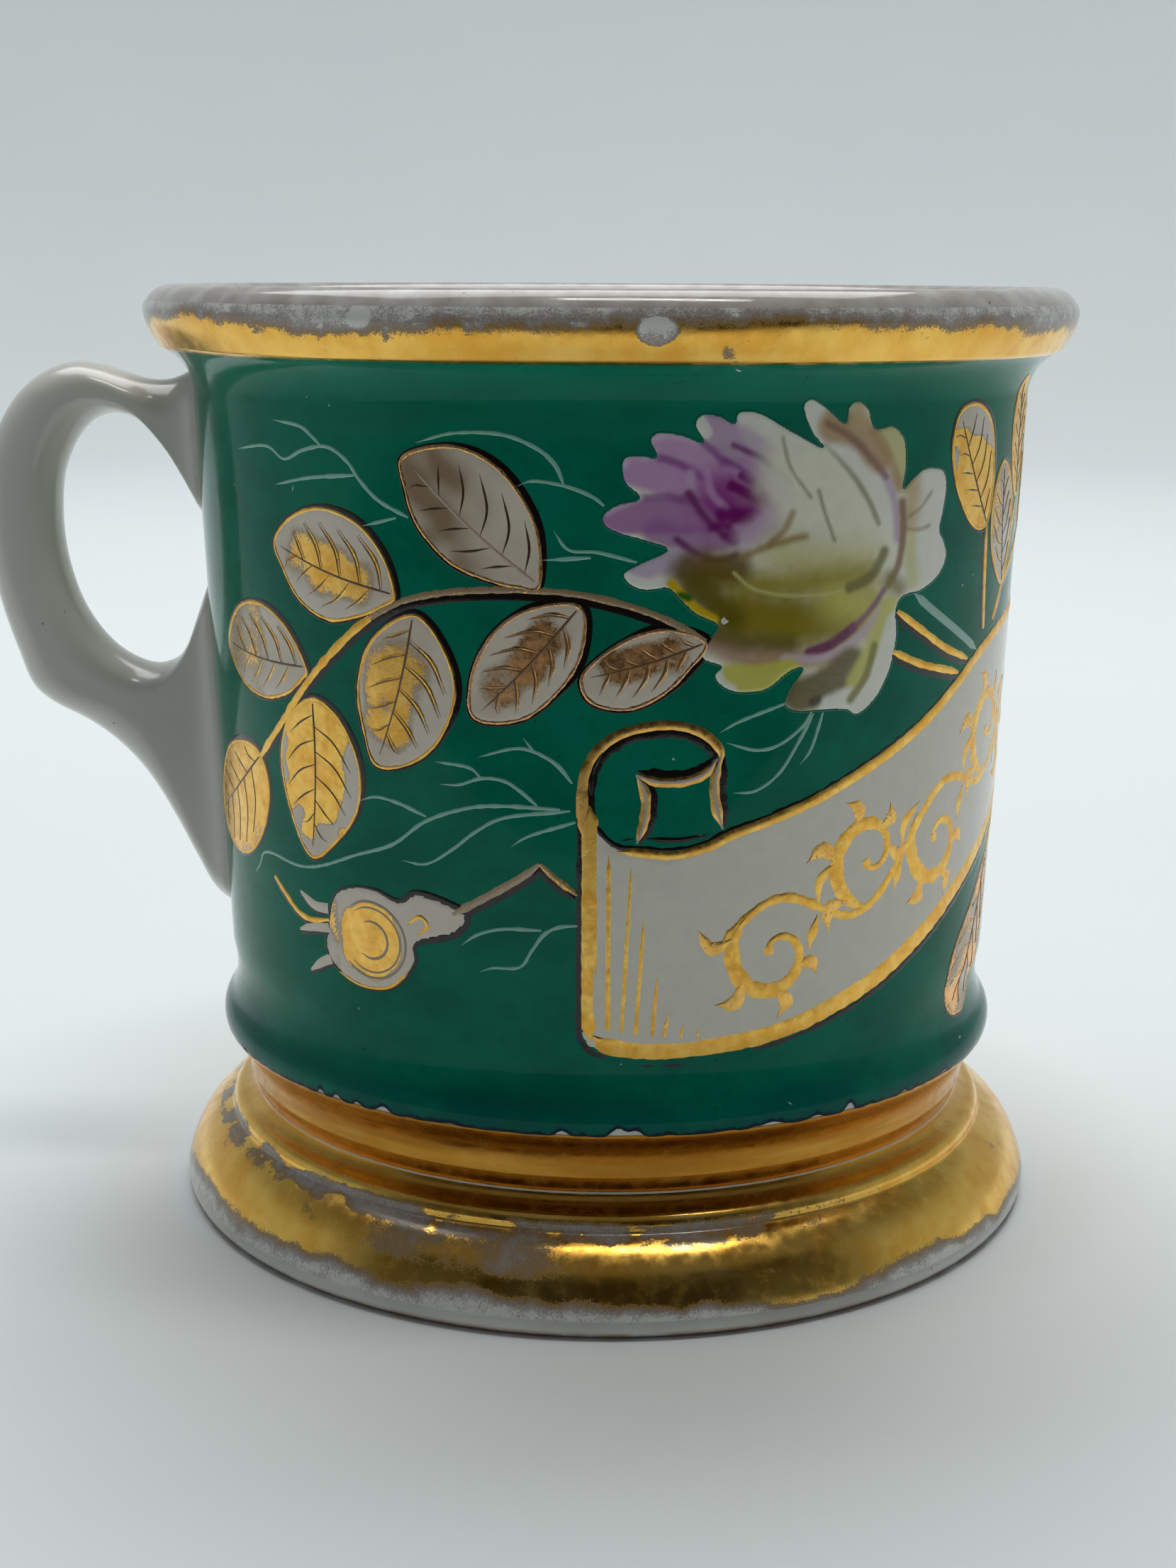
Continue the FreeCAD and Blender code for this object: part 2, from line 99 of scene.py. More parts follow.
def arc_run(start, end, radius, step=0.25):
    """Points after start up to end along an arc; its sign says which way it bulges."""
    start, end = np.array(start, float), np.array(end, float)
    chord = end - start
    length = math.hypot(*chord)
    if radius == 0:
        return [tuple(end)]
    left = np.array((-chord[1], chord[0])) / length
    rise = math.sqrt(radius ** 2 - (length / 2) ** 2)
    centre = (start + end) / 2 + left * math.copysign(rise, radius)
    first = math.atan2(*(start - centre)[::-1])
    last = math.atan2(*(end - centre)[::-1])
    if radius > 0 and last < first:
        last += 2 * math.pi
    if radius < 0 and last > first:
        last -= 2 * math.pi
    count = max(2, math.ceil(abs(radius * (last - first)) / step))
    angles = [first + (last - first) * i / count for i in range(1, count + 1)]
    size = abs(radius)
    return [(centre[0] + size * math.cos(a), centre[1] + size * math.sin(a)) for a in angles]


def outline(*groups):
    """The points of an outline given as groups of corners."""
    corners = [corner for group in groups for corner in group]
    points = [corners[0][:2]]
    for here, following in zip(corners, corners[1:]):
        points += arc_run(here[:2], following[:2], here[2])
    return points


def resampled(points, step):
    """The same open polyline with evenly spaced points."""
    points = np.array(points, float)
    lengths = np.hypot(*np.diff(points, axis=0).T)
    along = np.concatenate(([0.0], np.cumsum(lengths)))
    count = max(2, int(round(along[-1] / step)))
    places = np.linspace(0, along[-1], count + 1)
    return np.stack([np.interp(places, along, points[:, i]) for i in range(points.shape[1])], 1)


def softened(points, radius, closed=False, step=0.1):
    """Round every corner by about the given radius, as fired glaze does."""
    points = list(map(tuple, points))
    even = resampled(points + points[:1] if closed else points, step)
    spread = radius / step
    reach = int(3 * spread)
    weights = np.exp(-0.5 * (np.arange(-reach, reach + 1) / spread) ** 2)
    weights /= weights.sum()
    if closed:
        padded = np.concatenate([even[:-1][-reach:], even[:-1], even[:-1][:reach]])
    else:
        before = 2 * even[0] - even[1:reach + 1][::-1]
        after = 2 * even[-1] - even[-reach - 1:-1][::-1]
        padded = np.concatenate([before, even, after])
    smooth = np.stack([np.convolve(padded[:, i], weights, "valid") for i in range(2)], 1)
    if not closed:
        smooth[0], smooth[-1] = even[0], even[-1]
    return smooth


def thinned(points, turn=2.5, reach=3.0):
    """Drop points on straight stretches: keep one at each few degrees of turning."""
    points = np.array(points, float)
    steps = np.diff(points, axis=0)
    headings = np.unwrap(np.arctan2(steps[:, 1], steps[:, 0]))
    kept = [0]
    for index in range(1, len(points) - 1):
        turned_by = abs(headings[index] - headings[kept[-1]])
        gone = math.hypot(*(points[index] - points[kept[-1]]))
        if turned_by > math.radians(turn) or gone > reach:
            kept.append(index)
    return points[kept + [len(points) - 1]]


def lifted(points, lift):
    """An outline moved outwards by lift, a number or one for each point."""
    points = np.array(points, float)
    return points - leftward(points) * np.reshape(lift, (-1, 1))


def leftward(path, closed=False):
    """The unit direction to the left of a path at each of its points."""
    ahead = np.roll(path, -1, 0) - np.roll(path, 1, 0) if closed else np.gradient(path, axis=0)
    side = np.stack([-ahead[:, 1], ahead[:, 0]], 1)
    return side / np.maximum(np.hypot(*side.T), 1e-9)[:, None]


def smooth_step(low, high, value):
    """0 below low, 1 above high, and an even ease between them."""
    t = np.clip((np.asarray(value, float) - low) / (high - low), 0, 1)
    return t * t * (3 - 2 * t)


def curve_through(points, step=0.3, closed=False):
    """A Catmull-Rom curve through the points, evenly sampled."""
    points = [np.array(p, float) for p in points]
    count = len(points)
    if count == 2:
        return resampled(points, step)
    spans = count if closed else count - 1
    dense = []
    for index in range(spans):
        if closed:
            a, b, c, d = (points[(index + k) % count] for k in (-1, 0, 1, 2))
        else:
            b, c = points[index], points[index + 1]
            a = points[index - 1] if index else 2 * b - c
            d = points[index + 2] if index + 2 < count else 2 * c - b
        for t in np.linspace(0, 1, 12, endpoint=False):
            dense.append(0.5 * (
                2 * b + (c - a) * t + (2 * a - 5 * b + 4 * c - d) * t ** 2
                + (3 * b - a - 3 * c + d) * t ** 3
            ))
    dense.append(points[0] if closed else points[-1])
    even = resampled(dense, step)
    return even[:-1] if closed else even


# ---------------------------------------------------------------- meshes

def make_object(name, points, faces, sharp=35.0, facts=None):
    """A smooth-shaded mesh object from points in millimetres. facts are its point attributes."""
    mesh = bpy.data.meshes.new(name)
    mesh.from_pydata((np.array(points, float) * MM).tolist(), [], faces)
    for key, values in (facts or {}).items():
        values = np.array(values, np.float32)
        if values.ndim == 2:
            colours = np.ones((len(values), 4), np.float32)
            colours[:, :3] = values
            mesh.attributes.new(key, "FLOAT_COLOR", "POINT").data.foreach_set(
                "color", colours.ravel())
        else:
            mesh.attributes.new(key, "FLOAT", "POINT").data.foreach_set("value", values)
    mesh.polygons.foreach_set("use_smooth", [True] * len(mesh.polygons))
    mesh.set_sharp_from_angle(angle=math.radians(sharp))
    mesh.update()
    obj = bpy.data.objects.new(name, mesh)
    bpy.context.scene.collection.objects.link(obj)
    return obj


def round_about(radius, height, angle):
    """A point at an azimuth, counted from the front towards +X."""
    return (radius * math.sin(angle), -radius * math.cos(angle), height)


def turned(name, points, closed=False, columns=COLUMNS):
    """A body of revolution. An outline that starts or ends on the axis closes there."""
    angles = [2 * math.pi * j / columns for j in range(columns)]
    rows, places = [], []
    for radius, height in points:
        first = len(places)
        if radius < 1e-6:
            rows.append([first])
            places.append((0.0, 0.0, height))
        else:
            rows.append(list(range(first, first + columns)))
            places += [round_about(radius, height, a) for a in angles]
    faces = []
    following = rows[1:] + (rows[:1] if closed else [])
    for low, high in zip(rows, following):
        for j in range(columns):
            k = (j + 1) % columns
            bottom = (low[j % len(low)], low[k % len(low)])
            top = (high[k % len(high)], high[j % len(high)])
            faces.append(tuple(dict.fromkeys(bottom + top)))
    return make_object(name, places, faces)


def thickened(obj, depth):
    """Give a sheet a back and edges, depth millimetres behind its face."""
    modifier = obj.modifiers.new("thickness", "SOLIDIFY")
    modifier.thickness = depth * MM
    modifier.offset = -1.0
    graph = bpy.context.evaluated_depsgraph_get()
    solid = bpy.data.meshes.new_from_object(obj.evaluated_get(graph))
    obj.modifiers.clear()
    obj.data = solid
    return obj


# ---------------------------------------------------------------- materials

class Shader:
    """A short way to write a node material."""

    def __init__(self, name):
        self.material = bpy.data.materials.new(name)
        self.material.use_nodes = True
        self.tree = self.material.node_tree
        self.surface = self.tree.nodes["Principled BSDF"]

    def node(self, kind, values=None, **settings):
        item = self.tree.nodes.new("ShaderNode" + kind)
        for key, value in settings.items():
            setattr(item, key, value)
        for key, value in (values or {}).items():
            self.feed(item.inputs[key], value)
        return item

    def feed(self, socket, value):
        if isinstance(value, bpy.types.NodeSocket):
            self.tree.links.new(value, socket)
        elif socket.type == "RGBA" and len(value) == 3:
            socket.default_value = (*value, 1.0)
        else:
            socket.default_value = value

    def set(self, **values):
        """Set or link sockets of the surface; underscores stand for spaces."""
        for key, value in values.items():
            self.feed(self.surface.inputs[key.replace("_", " ")], value)

    def math(self, operation, first, second=0.0, third=0.0):
        values = {0: first, 1: second, 2: third}
        return self.node("Math", values, operation=operation).outputs[0]

    def add(self, *terms):
        total = terms[0]
        for term in terms[1:]:
            total = self.math("ADD", total, term)
        return total

    def swing(self, value, reach):
        """A noise value swung about zero, reach from its lowest to its highest."""
        return self.math("MULTIPLY", self.math("SUBTRACT", value, 0.5), reach)

    def times(self, *terms):
        total = terms[0]
        for term in terms[1:]:
            total = self.math("MULTIPLY", total, term)
        return total

    def ease(self, value, low, high, start=0.0, end=1.0):
        """Smoothly from start to end while value goes from low to high."""
        values = {"Value": value, "From Min": low, "From Max": high, "To Min": start, "To Max": end}
        return self.node("MapRange", values, interpolation_type="SMOOTHSTEP").outputs[0]

    def mix(self, factor, first, second):
        values = {0: factor, 6: first, 7: second}
        return self.node("Mix", values, data_type="RGBA").outputs[2]

    def place(self, stretch=(1.0, 1.0, 1.0)):
        """Object coordinates in millimetres, stretched along each axis."""
        source = self.node("TexCoord").outputs["Object"]
        scale = tuple(k / MM for k in stretch)
        values = {0: source, 1: scale}
        return self.node("VectorMath", values, operation="MULTIPLY").outputs[0]

    def height_and_azimuth(self):
        """Height in millimetres, and azimuth from the front in radians."""
        parts = self.node("SeparateXYZ", {0: self.place()}).outputs
        return parts[2], self.math("ARCTAN2", parts[0], self.math("MULTIPLY", parts[1], -1.0))

    def noise(self, per_mm, detail=3.0, stretch=(1.0, 1.0, 1.0), warp=0.0, rough=0.55):
        """Fractal noise about 0.5; per_mm is how many blots fit in a millimetre."""
        values = {
            "Vector": self.place(stretch), "Scale": per_mm, "Detail": detail,
            "Roughness": rough, "Distortion": warp,
        }
        return self.node("TexNoise", values).outputs["Fac"]

    def specks(self, per_mm, size):
        """Small round dots scattered about, 1 inside a dot."""
        values = {"Vector": self.place(), "Scale": per_mm}
        cells = self.node("TexVoronoi", values)
        inside = self.ease(cells.outputs["Distance"], size, size * 0.4)
        tint = self.node("SeparateColor", {0: cells.outputs["Color"]}).outputs[0]
        return self.math("MULTIPLY", inside, self.math("GREATER_THAN", tint, 0.72))

    def bump(self, height, distance):
        values = {"Height": height, "Distance": distance * MM, "Strength": 1.0}
        return self.node("Bump", values).outputs[0]

    def fact(self, name, output="Fac"):
        return self.node("Attribute", attribute_name=name).outputs[output]


def srgb(red, green, blue):
    """A colour given as 0 to 255, as linear light."""
    return tuple(
        (c / 255 / 12.92) if c <= 10 else ((c / 255 + 0.055) / 1.055) ** 2.4
        for c in (red, green, blue)
    )


WHITE_GLAZE = srgb(226, 225, 218)
GREY_GLAZE = srgb(206, 203, 197)
# The handle's glaze: the cup's white made greyer as painted shade.
SHADED_HANDLE_GLAZE = srgb(206, 206, 197)
STAIN_AND_SHADE = srgb(164, 155, 150)
THIN_GOLD = srgb(152, 124, 84)
SPECK = srgb(70, 52, 40)
GOLD = (0.92, 0.57, 0.13)
DEEP_GOLD = (0.80, 0.41, 0.06)
COPPER = (0.95, 0.50, 0.21)
# Gold seen in gold: a painted reflection, laid on the neck.
REFLECTED_AMBER = (0.54, 0.24, 0.03)
GREEN = (0.0, 0.185, 0.112)
DARK_GREEN = (0.0, 0.140, 0.084)
BLUE_LINE = srgb(12, 42, 58)


def glaze_colour(shader, glaze):
    """A glaze a little uneven in tone."""
    clouds = shader.noise(0.06, 4.0)
    return shader.mix(shader.ease(clouds, 0.35, 0.7), glaze, GREY_GLAZE)


def wavy_glaze(shader):
    """The slow unevenness of a fired glaze."""
    return shader.bump(shader.noise(0.12, 2.0), 0.03)


def porcelain_material():
    """White body: specks near lip and foot, a grey bloom on the lip that is partly painted shade,
    rust where it stands.
    """
    shader = Shader("white_porcelain")
    height = shader.height_and_azimuth()[0]
    colour = glaze_colour(shader, WHITE_GLAZE)
    near_lip = shader.ease(height, 94.0, 98.0)
    near_foot = shader.ease(height, 6.0, 2.0)
    dots = shader.math("MAXIMUM", shader.specks(0.9, 0.18), shader.specks(0.35, 0.09))
    where = shader.math("MAXIMUM", near_lip, near_foot)
    patchy = shader.ease(shader.noise(0.16, 3.0), 0.42, 0.62)
    dots = shader.times(dots, where, patchy)
    blotches = shader.ease(shader.noise(0.3, 5.0), 0.25, 0.7, 0.45, 1.0)
    # A grey stain on the lip: partly real, and made darker still as painted shade.
    colour = shader.mix(shader.times(near_lip, blotches, 0.9), colour, STAIN_AND_SHADE)
    colour = shader.mix(shader.times(dots, 0.85), colour, SPECK)
    rust = shader.times(shader.ease(height, 1.1, 0.3), shader.ease(shader.noise(0.4), 0.3, 0.6))
    colour = shader.mix(shader.times(rust, 0.75), colour, srgb(176, 120, 84))
    shader.set(Base_Color=colour, Roughness=shader.ease(shader.noise(0.5), 0.2, 0.8, 0.07, 0.2))
    shader.set(Normal=wavy_glaze(shader))
    return shader.material


def handle_material():
    """The white glaze of the handle, painted greyer than the cup's as painted shade."""
    shader = Shader("handle_porcelain")
    glaze = glaze_colour(shader, SHADED_HANDLE_GLAZE)
    colour = shader.mix(shader.times(shader.specks(0.4, 0.07), 0.7), glaze, SPECK)
    shader.set(Base_Color=colour, Roughness=shader.ease(shader.noise(0.3), 0.2, 0.8, 0.12, 0.24))
    shader.set(Normal=wavy_glaze(shader))
    return shader.material


def slip_material():
    """The grey-white slip that sets between cup and foot."""
    shader = Shader("luting_slip")
    colour = shader.mix(shader.noise(0.8), srgb(205, 200, 190), srgb(222, 219, 210))
    shader.set(Base_Color=colour, Roughness=0.6, Normal=shader.bump(shader.noise(2.0), 0.05))
    return shader.material


def green_material():
    """Green enamel over the glaze: cloudy tone, a dark line at both borders, pits and chips.
    Point attributes edge_low and edge_top are the distances to those borders."""
    shader = Shader("green_enamel")
    height = shader.height_and_azimuth()[0]
    clouds = shader.noise(0.10, 5.0, (1.0, 1.0, 1.6))
    colour = shader.mix(shader.ease(clouds, 0.35, 0.68), GREEN, DARK_GREEN)
    mottle = shader.noise(0.9, 4.0)
    colour = shader.mix(shader.ease(mottle, 0.5, 0.75, 0.0, 0.25), colour, (0.0, 0.105, 0.062))
    blue = shader.times(shader.ease(height, 26.0, 19.5), shader.ease(clouds, 0.3, 0.6, 0.2, 0.75))
    colour = shader.mix(blue, colour, (0.0, 0.092, 0.082))
    # Painted reflection: lighter, horizontally streaked green near the top of the wall.
    painted_top_reflection = shader.times(shader.ease(height, 86.5, 88.5), shader.noise(0.2, 3.0, (0.3, 0.3, 6.0)))
    colour = shader.mix(shader.times(painted_top_reflection, 0.55), colour, (0.020, 0.200, 0.120))
    wander = shader.swing(shader.noise(1.1, 3.0), 0.9)
    low_edge = shader.add(shader.fact("edge_low"), wander)
    colour = shader.mix(shader.ease(low_edge, 0.55, 0.22), colour, BLUE_LINE)
    top_edge = shader.add(shader.fact("edge_top"), shader.times(wander, 0.5))
    colour = shader.mix(shader.ease(top_edge, 0.45, 0.25), colour, srgb(30, 30, 24))
    pits = shader.specks(0.45, 0.10)
    colour = shader.mix(shader.times(pits, 0.6), colour, (0.0, 0.045, 0.035))
    chips = shader.ease(shader.noise(0.33, 2.0, warp=1.5), 0.768, 0.778)
    colour = shader.mix(chips, colour, GREY_GLAZE)
    shader.set(Base_Color=colour, Specular_IOR_Level=0.10)
    shader.set(Roughness=shader.ease(shader.noise(0.6, 4.0), 0.3, 0.7, 0.05, 0.14))
    relief = shader.add(shader.noise(0.13, 2.0), shader.times(mottle, 0.05))
    shader.set(Normal=shader.bump(relief, 0.035))
    return shader.material


def gold_on_glaze(shader, level, painted_reflection=0.0):
    """Finish a shader as gold over glaze. level is how much gold is left, 0 to 1; in between it
    thins to a brown bloom and breaks up into flecks. amber says where the gold is painted darker
    and redder, as painted reflection of gold in gold."""
    fleck = shader.noise(4.6, 6.0, rough=0.75)
    cloud = shader.noise(0.7, 4.0)
    left = shader.add(level, shader.swing(fleck, 1.5), shader.swing(cloud, 0.8))
    mask = shader.ease(left, 0.40, 0.62)
    tone = shader.ease(shader.noise(0.22, 5.0), 0.3, 0.7)
    gold = shader.mix(painted_reflection, shader.mix(tone, GOLD, DEEP_GOLD), REFLECTED_AMBER)
    bloom = shader.mix(shader.ease(left, -0.10, 0.38), STAIN_AND_SHADE, THIN_GOLD)
    glaze = shader.mix(shader.ease(left, -0.50, -0.05), WHITE_GLAZE, bloom)
    shader.set(Base_Color=shader.mix(mask, glaze, gold), Metallic=mask)
    satin = shader.ease(shader.noise(0.6, 5.0), 0.3, 0.75, 0.11, 0.33)
    rough = shader.add(shader.times(mask, shader.math("SUBTRACT", satin, 0.12)), 0.12)
    shader.set(Roughness=rough)
    relief = shader.add(shader.noise(0.15, 2.0), shader.times(fleck, 0.12))
    shader.set(Normal=shader.bump(relief, 0.05))


# Where the rim's gold is missing in one round spot.
DIP_AZIMUTH = 0.075
DIP_HEIGHT = 97.3


def rim_gold_material():
    """The gilt band under the lip: whole along its lower edge, rubbed away above."""
    shader = Shader("rim_gold")
    height, azimuth = shader.height_and_azimuth()
    sway = shader.swing(shader.noise(0.05, 3.0), 6.0)
    level = shader.ease(shader.add(height, sway), 99.0, 95.6, -0.3, 1.05)
    scratched = shader.ease(shader.noise(0.5, 5.0, (1.0, 1.0, 2.5)), 0.55, 0.78, 0.0, 0.5)
    holes = shader.ease(shader.noise(0.12, 1.0), 0.72, 0.78)
    aside = shader.math("MULTIPLY", shader.math("SUBTRACT", azimuth, DIP_AZIMUTH), WALL_RADIUS)
    above = shader.math("MULTIPLY", shader.math("SUBTRACT", height, DIP_HEIGHT), 1.3)
    dip = shader.ease(shader.add(shader.times(aside, aside), shader.times(above, above)), 3.6, 1.6)
    level = shader.math("SUBTRACT", level, shader.add(scratched, holes, dip))
    gold_on_glaze(shader, level)
    return shader.material


def foot_gold_material():
    """Gold on the neck and foot: whole in the hollows, worn off along the groove, on the left
    of the swell and towards the table. Darker and redder on the neck, in streaks, as painted
    reflection of gold in gold."""
    shader = Shader("foot_gold")
    height, azimuth = shader.height_and_azimuth()
    sway = shader.swing(shader.noise(0.06, 3.0), 6.5)
    streaky = shader.noise(0.16, 5.0, (1.0, 1.0, 3.0))
    level = shader.ease(shader.add(height, sway), 2.2, 5.0, -0.4, 1.0)
    off_groove = shader.math("ABSOLUTE", shader.math("SUBTRACT", height, GROOVE_HEIGHT))
    on_groove = shader.ease(off_groove, 1.6, 0.4)
    left_side = shader.ease(azimuth, 0.75, 0.05, 0.25, 1.0)
    groove_wear = shader.times(on_groove, shader.ease(streaky, 0.36, 0.56), left_side)
    rubbed = shader.times(shader.ease(azimuth, -0.75, -0.40), shader.ease(azimuth, 0.05, -0.25))
    rubbed = shader.times(rubbed, shader.ease(height, 9.5, 8.0), shader.ease(height, 4.9, 6.4))
    swell_wear = shader.times(rubbed, shader.ease(shader.noise(0.09, 4.0), 0.30, 0.60, 0.2, 0.9))
    patches = shader.ease(shader.noise(0.11, 4.0), 0.56, 0.76, 0.0, 0.7)
    patches = shader.times(patches, shader.ease(height, 13.0, 10.0))
    wear = shader.math("MAXIMUM", shader.math("MAXIMUM", groove_wear, swell_wear), patches)
    # Painted reflection: the neck darker and redder, in streaks, as gold mirrored in gold.
    in_band = shader.ease(shader.noise(0.3, 4.0, (0.3, 0.3, 3.0)), 0.3, 0.7, 0.6, 1.0)
    painted_reflection = shader.times(shader.ease(height, 10.4, 12.2), in_band)
    gold_on_glaze(shader, shader.math("SUBTRACT", level, wear), painted_reflection)
    return shader.material


def painted_material():
    """Painted enamel and gold: the mesh says what was painted where. Point attributes are paint,
    the colour; gilt, how much gold is left; and copper, how red that gold is."""
    shader = Shader("painted_enamel")
    paint = shader.fact("paint", "Color")
    gilt = shader.fact("gilt")
    fleck = shader.noise(3.4, 5.0, rough=0.7)
    left = shader.add(gilt, shader.swing(fleck, 1.1))
    mask = shader.times(shader.ease(left, 0.46, 0.58), shader.math("GREATER_THAN", gilt, 0.02))
    gold = shader.mix(shader.ease(shader.noise(0.5, 4.0), 0.35, 0.7), GOLD, DEEP_GOLD)
    gold = shader.mix(shader.fact("copper"), gold, COPPER)
    clouds = shader.ease(shader.noise(0.5, 4.0), 0.3, 0.7, 0.95, 1.0)
    tone = shader.node("VectorMath", {0: paint, 3: clouds}, operation="SCALE").outputs[0]
    bloom = shader.times(shader.ease(left, 0.05, 0.5), shader.ease(gilt, 0.15, 0.4), 0.6)
    tone = shader.mix(bloom, tone, THIN_GOLD)
    shader.set(Base_Color=shader.mix(mask, tone, gold), Metallic=mask)
    satin = shader.ease(shader.noise(1.2, 4.0), 0.3, 0.75, 0.22, 0.45)
    shader.set(Roughness=shader.add(shader.times(mask, shader.math("SUBTRACT", satin, 0.1)), 0.1))
    relief = shader.add(shader.noise(0.6, 3.0), shader.times(fleck, 0.3))
    shader.set(Normal=shader.bump(relief, 0.03))
    return shader.material


def stage_material():
    """The pale surface the mug stands on, greyer far out in front of the mug as painted shade."""
    shader = Shader("pale_paper")
    colour = shader.mix(shader.noise(0.01, 2.0), srgb(231, 237, 238), srgb(236, 241, 241))
    depth = shader.node("SeparateXYZ", {0: shader.place()}).outputs[1]
    # Painted shade: grey far out in front, where the room is dim.
    colour = shader.mix(shader.ease(depth, -170.0, -800.0), colour, srgb(112, 116, 118))
    shader.set(Base_Color=colour, Roughness=0.65, Specular_IOR_Level=0.3)
    return shader.material


def finish(obj, material, slot, *nodes):
    """Give a piece its material, and hide the nodes it stands for. slot is not used."""
    obj.data.materials.clear()
    obj.data.materials.append(material)
    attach(obj, "root")
    if nodes:
        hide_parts(*nodes)


# ---------------------------------------------------------------- the bodies

def make_cup():
    """The cup: thick floor, flaring wall, rolled lip."""
    bottom, floor = (0.0, CUP_BOTTOM, 0), (0.0, CUP_FLOOR, 0)
    corners = outline((bottom,), NECK, WALL, LIP, INSIDE, (floor,))
    return turned("cup", thinned(softened(corners, 0.22)))


def make_foot():
    """The spreading foot, hollow underneath."""
    corners = outline(FOOT_UNDER, FOOT_SIDE) + [FOOT_UNDER[0][:2]]
    points = thinned(softened(corners[:-1], 0.2, closed=True))
    return turned("foot_ring", points[:-1], closed=True)


def make_foot_seam():
    """The washer of slip between cup and foot, a little squeezed out."""
    side, swell = NECK_RADIUS - 0.1, NECK_RADIUS + 0.12
    ring = [
        (FOOT_HOLLOW, WAIST_HEIGHT), (side, WAIST_HEIGHT), (swell, WAIST_HEIGHT + 0.1),
        (swell, CUP_BOTTOM - 0.1), (side, CUP_BOTTOM), (FOOT_HOLLOW, CUP_BOTTOM),
    ]
    return turned("foot_seam", ring, closed=True)


# The outside of the wall, from below the enamel up to the widest point of the rim.
WALL_OUTSIDE = softened(outline(WALL, LIP[:1]), 0.2)


def wall_radius(height):
    """Outside radius of the green enamel at a height."""
    return np.interp(height, WALL_OUTSIDE[:, 1], WALL_OUTSIDE[:, 0]) + ENAMEL_LIFT


def chip_height(angle):
    """How far the enamel has flaked off above its lower border."""
    rim = Vector((math.sin(angle), math.cos(angle), 0.0)) * WALL_RADIUS
    fine = noise.noise(rim * 0.55)
    blunt = noise.noise(rim * 0.16 + Vector((9.0, 2.0, 4.0)))
    return 0.12 + 0.12 * fine + 2.6 * max(0.0, fine + 0.02) * max(0.0, blunt + 0.42)


def make_green():
    """The green enamel: a thin shell, flaked along its lower border, open behind the handle."""
    fine_rows, flare = 36, 90.0
    stations = [ENAMEL_LOW + 0.06 * i for i in range(fine_rows)]
    reach = stations[-1]
    for low, high, count in ((reach, BARE_LOW, 12), (BARE_LOW, flare, 40), (flare, ENAMEL_TOP, 18)):
        stations += list(np.linspace(low, high, count))[1:]
    columns = 720
    gap = math.asin(BARE_HALF_WIDTH / WALL_RADIUS)
    places, low_edge, top_edge, faces = [], [], [], []
    shell = lifted(WALL_OUTSIDE, ENAMEL_LIFT)
    far = 9.0
    for height in stations:
        for j in range(columns):
            angle = 2 * math.pi * j / columns
            bottom = ENAMEL_LOW + chip_height(angle)
            z = height
            if height < reach:
                share = (height - ENAMEL_LOW) / (reach - ENAMEL_LOW)
                z = bottom + share * (reach - bottom)
            radius = np.interp(z, shell[:, 1], shell[:, 0])
            places.append(round_about(radius, z, angle))
            low_edge.append(min(z - bottom, far))
            top_edge.append(min(ENAMEL_TOP - z, far))
    for i in range(len(stations) - 1):
        for j in range(columns):
            k = (j + 1) % columns
            middle = 2 * math.pi * (j + 0.5) / columns
            off_handle = abs(middle - HANDLE_AZIMUTH)
            if off_handle < gap and stations[i] >= BARE_LOW - 1e-6:
                continue
            row, above = i * columns, (i + 1) * columns
            faces.append((row + j, row + k, above + k, above + j))
    shell_object = make_object(
        "green_shell", places, faces, facts={"edge_low": low_edge, "edge_top": top_edge})
    return thickened(shell_object, ENAMEL_LIFT * ENAMEL_SHARE)


def gilt_band(name, points):
    """A thin closed shell of revolution whose face is the given stretch of outline."""
    back = lifted(points, -GOLD_LIFT * GOLD_SHARE)[::-1]
    return turned(name, np.concatenate([points, back]), closed=True)


def make_rim_gold():
    """Gold under the lip, lapping over the top of the enamel."""
    low, top, inner_side = ENAMEL_TOP - 0.25, 99.4, 46.0
    stretch = softened(outline(WALL[3:], LIP), 0.2)
    radii, heights = stretch.T
    stretch = stretch[(heights > low) & (heights < top) & (radii > inner_side)]
    lap = GOLD_LIFT + 0.10 * (1 - smooth_step(ENAMEL_TOP, ENAMEL_TOP + 0.6, stretch[:, 1]))
    return gilt_band("rim_gilt", thinned(lifted(stretch, lap)))


def make_foot_gold():
    """Gold on the foot and the neck, in one coat over the seam."""
    low, top = 2.0, ENAMEL_LOW + 0.2
    stretch = softened(outline(FOOT_UNDER[-1:], FOOT_SIDE, NECK, WALL[:2]), 0.16)
    heights = stretch[:, 1]
    stretch = stretch[(heights > low) & (heights < top)]
    return gilt_band("foot_gilt", thinned(lifted(stretch, GOLD_LIFT)))


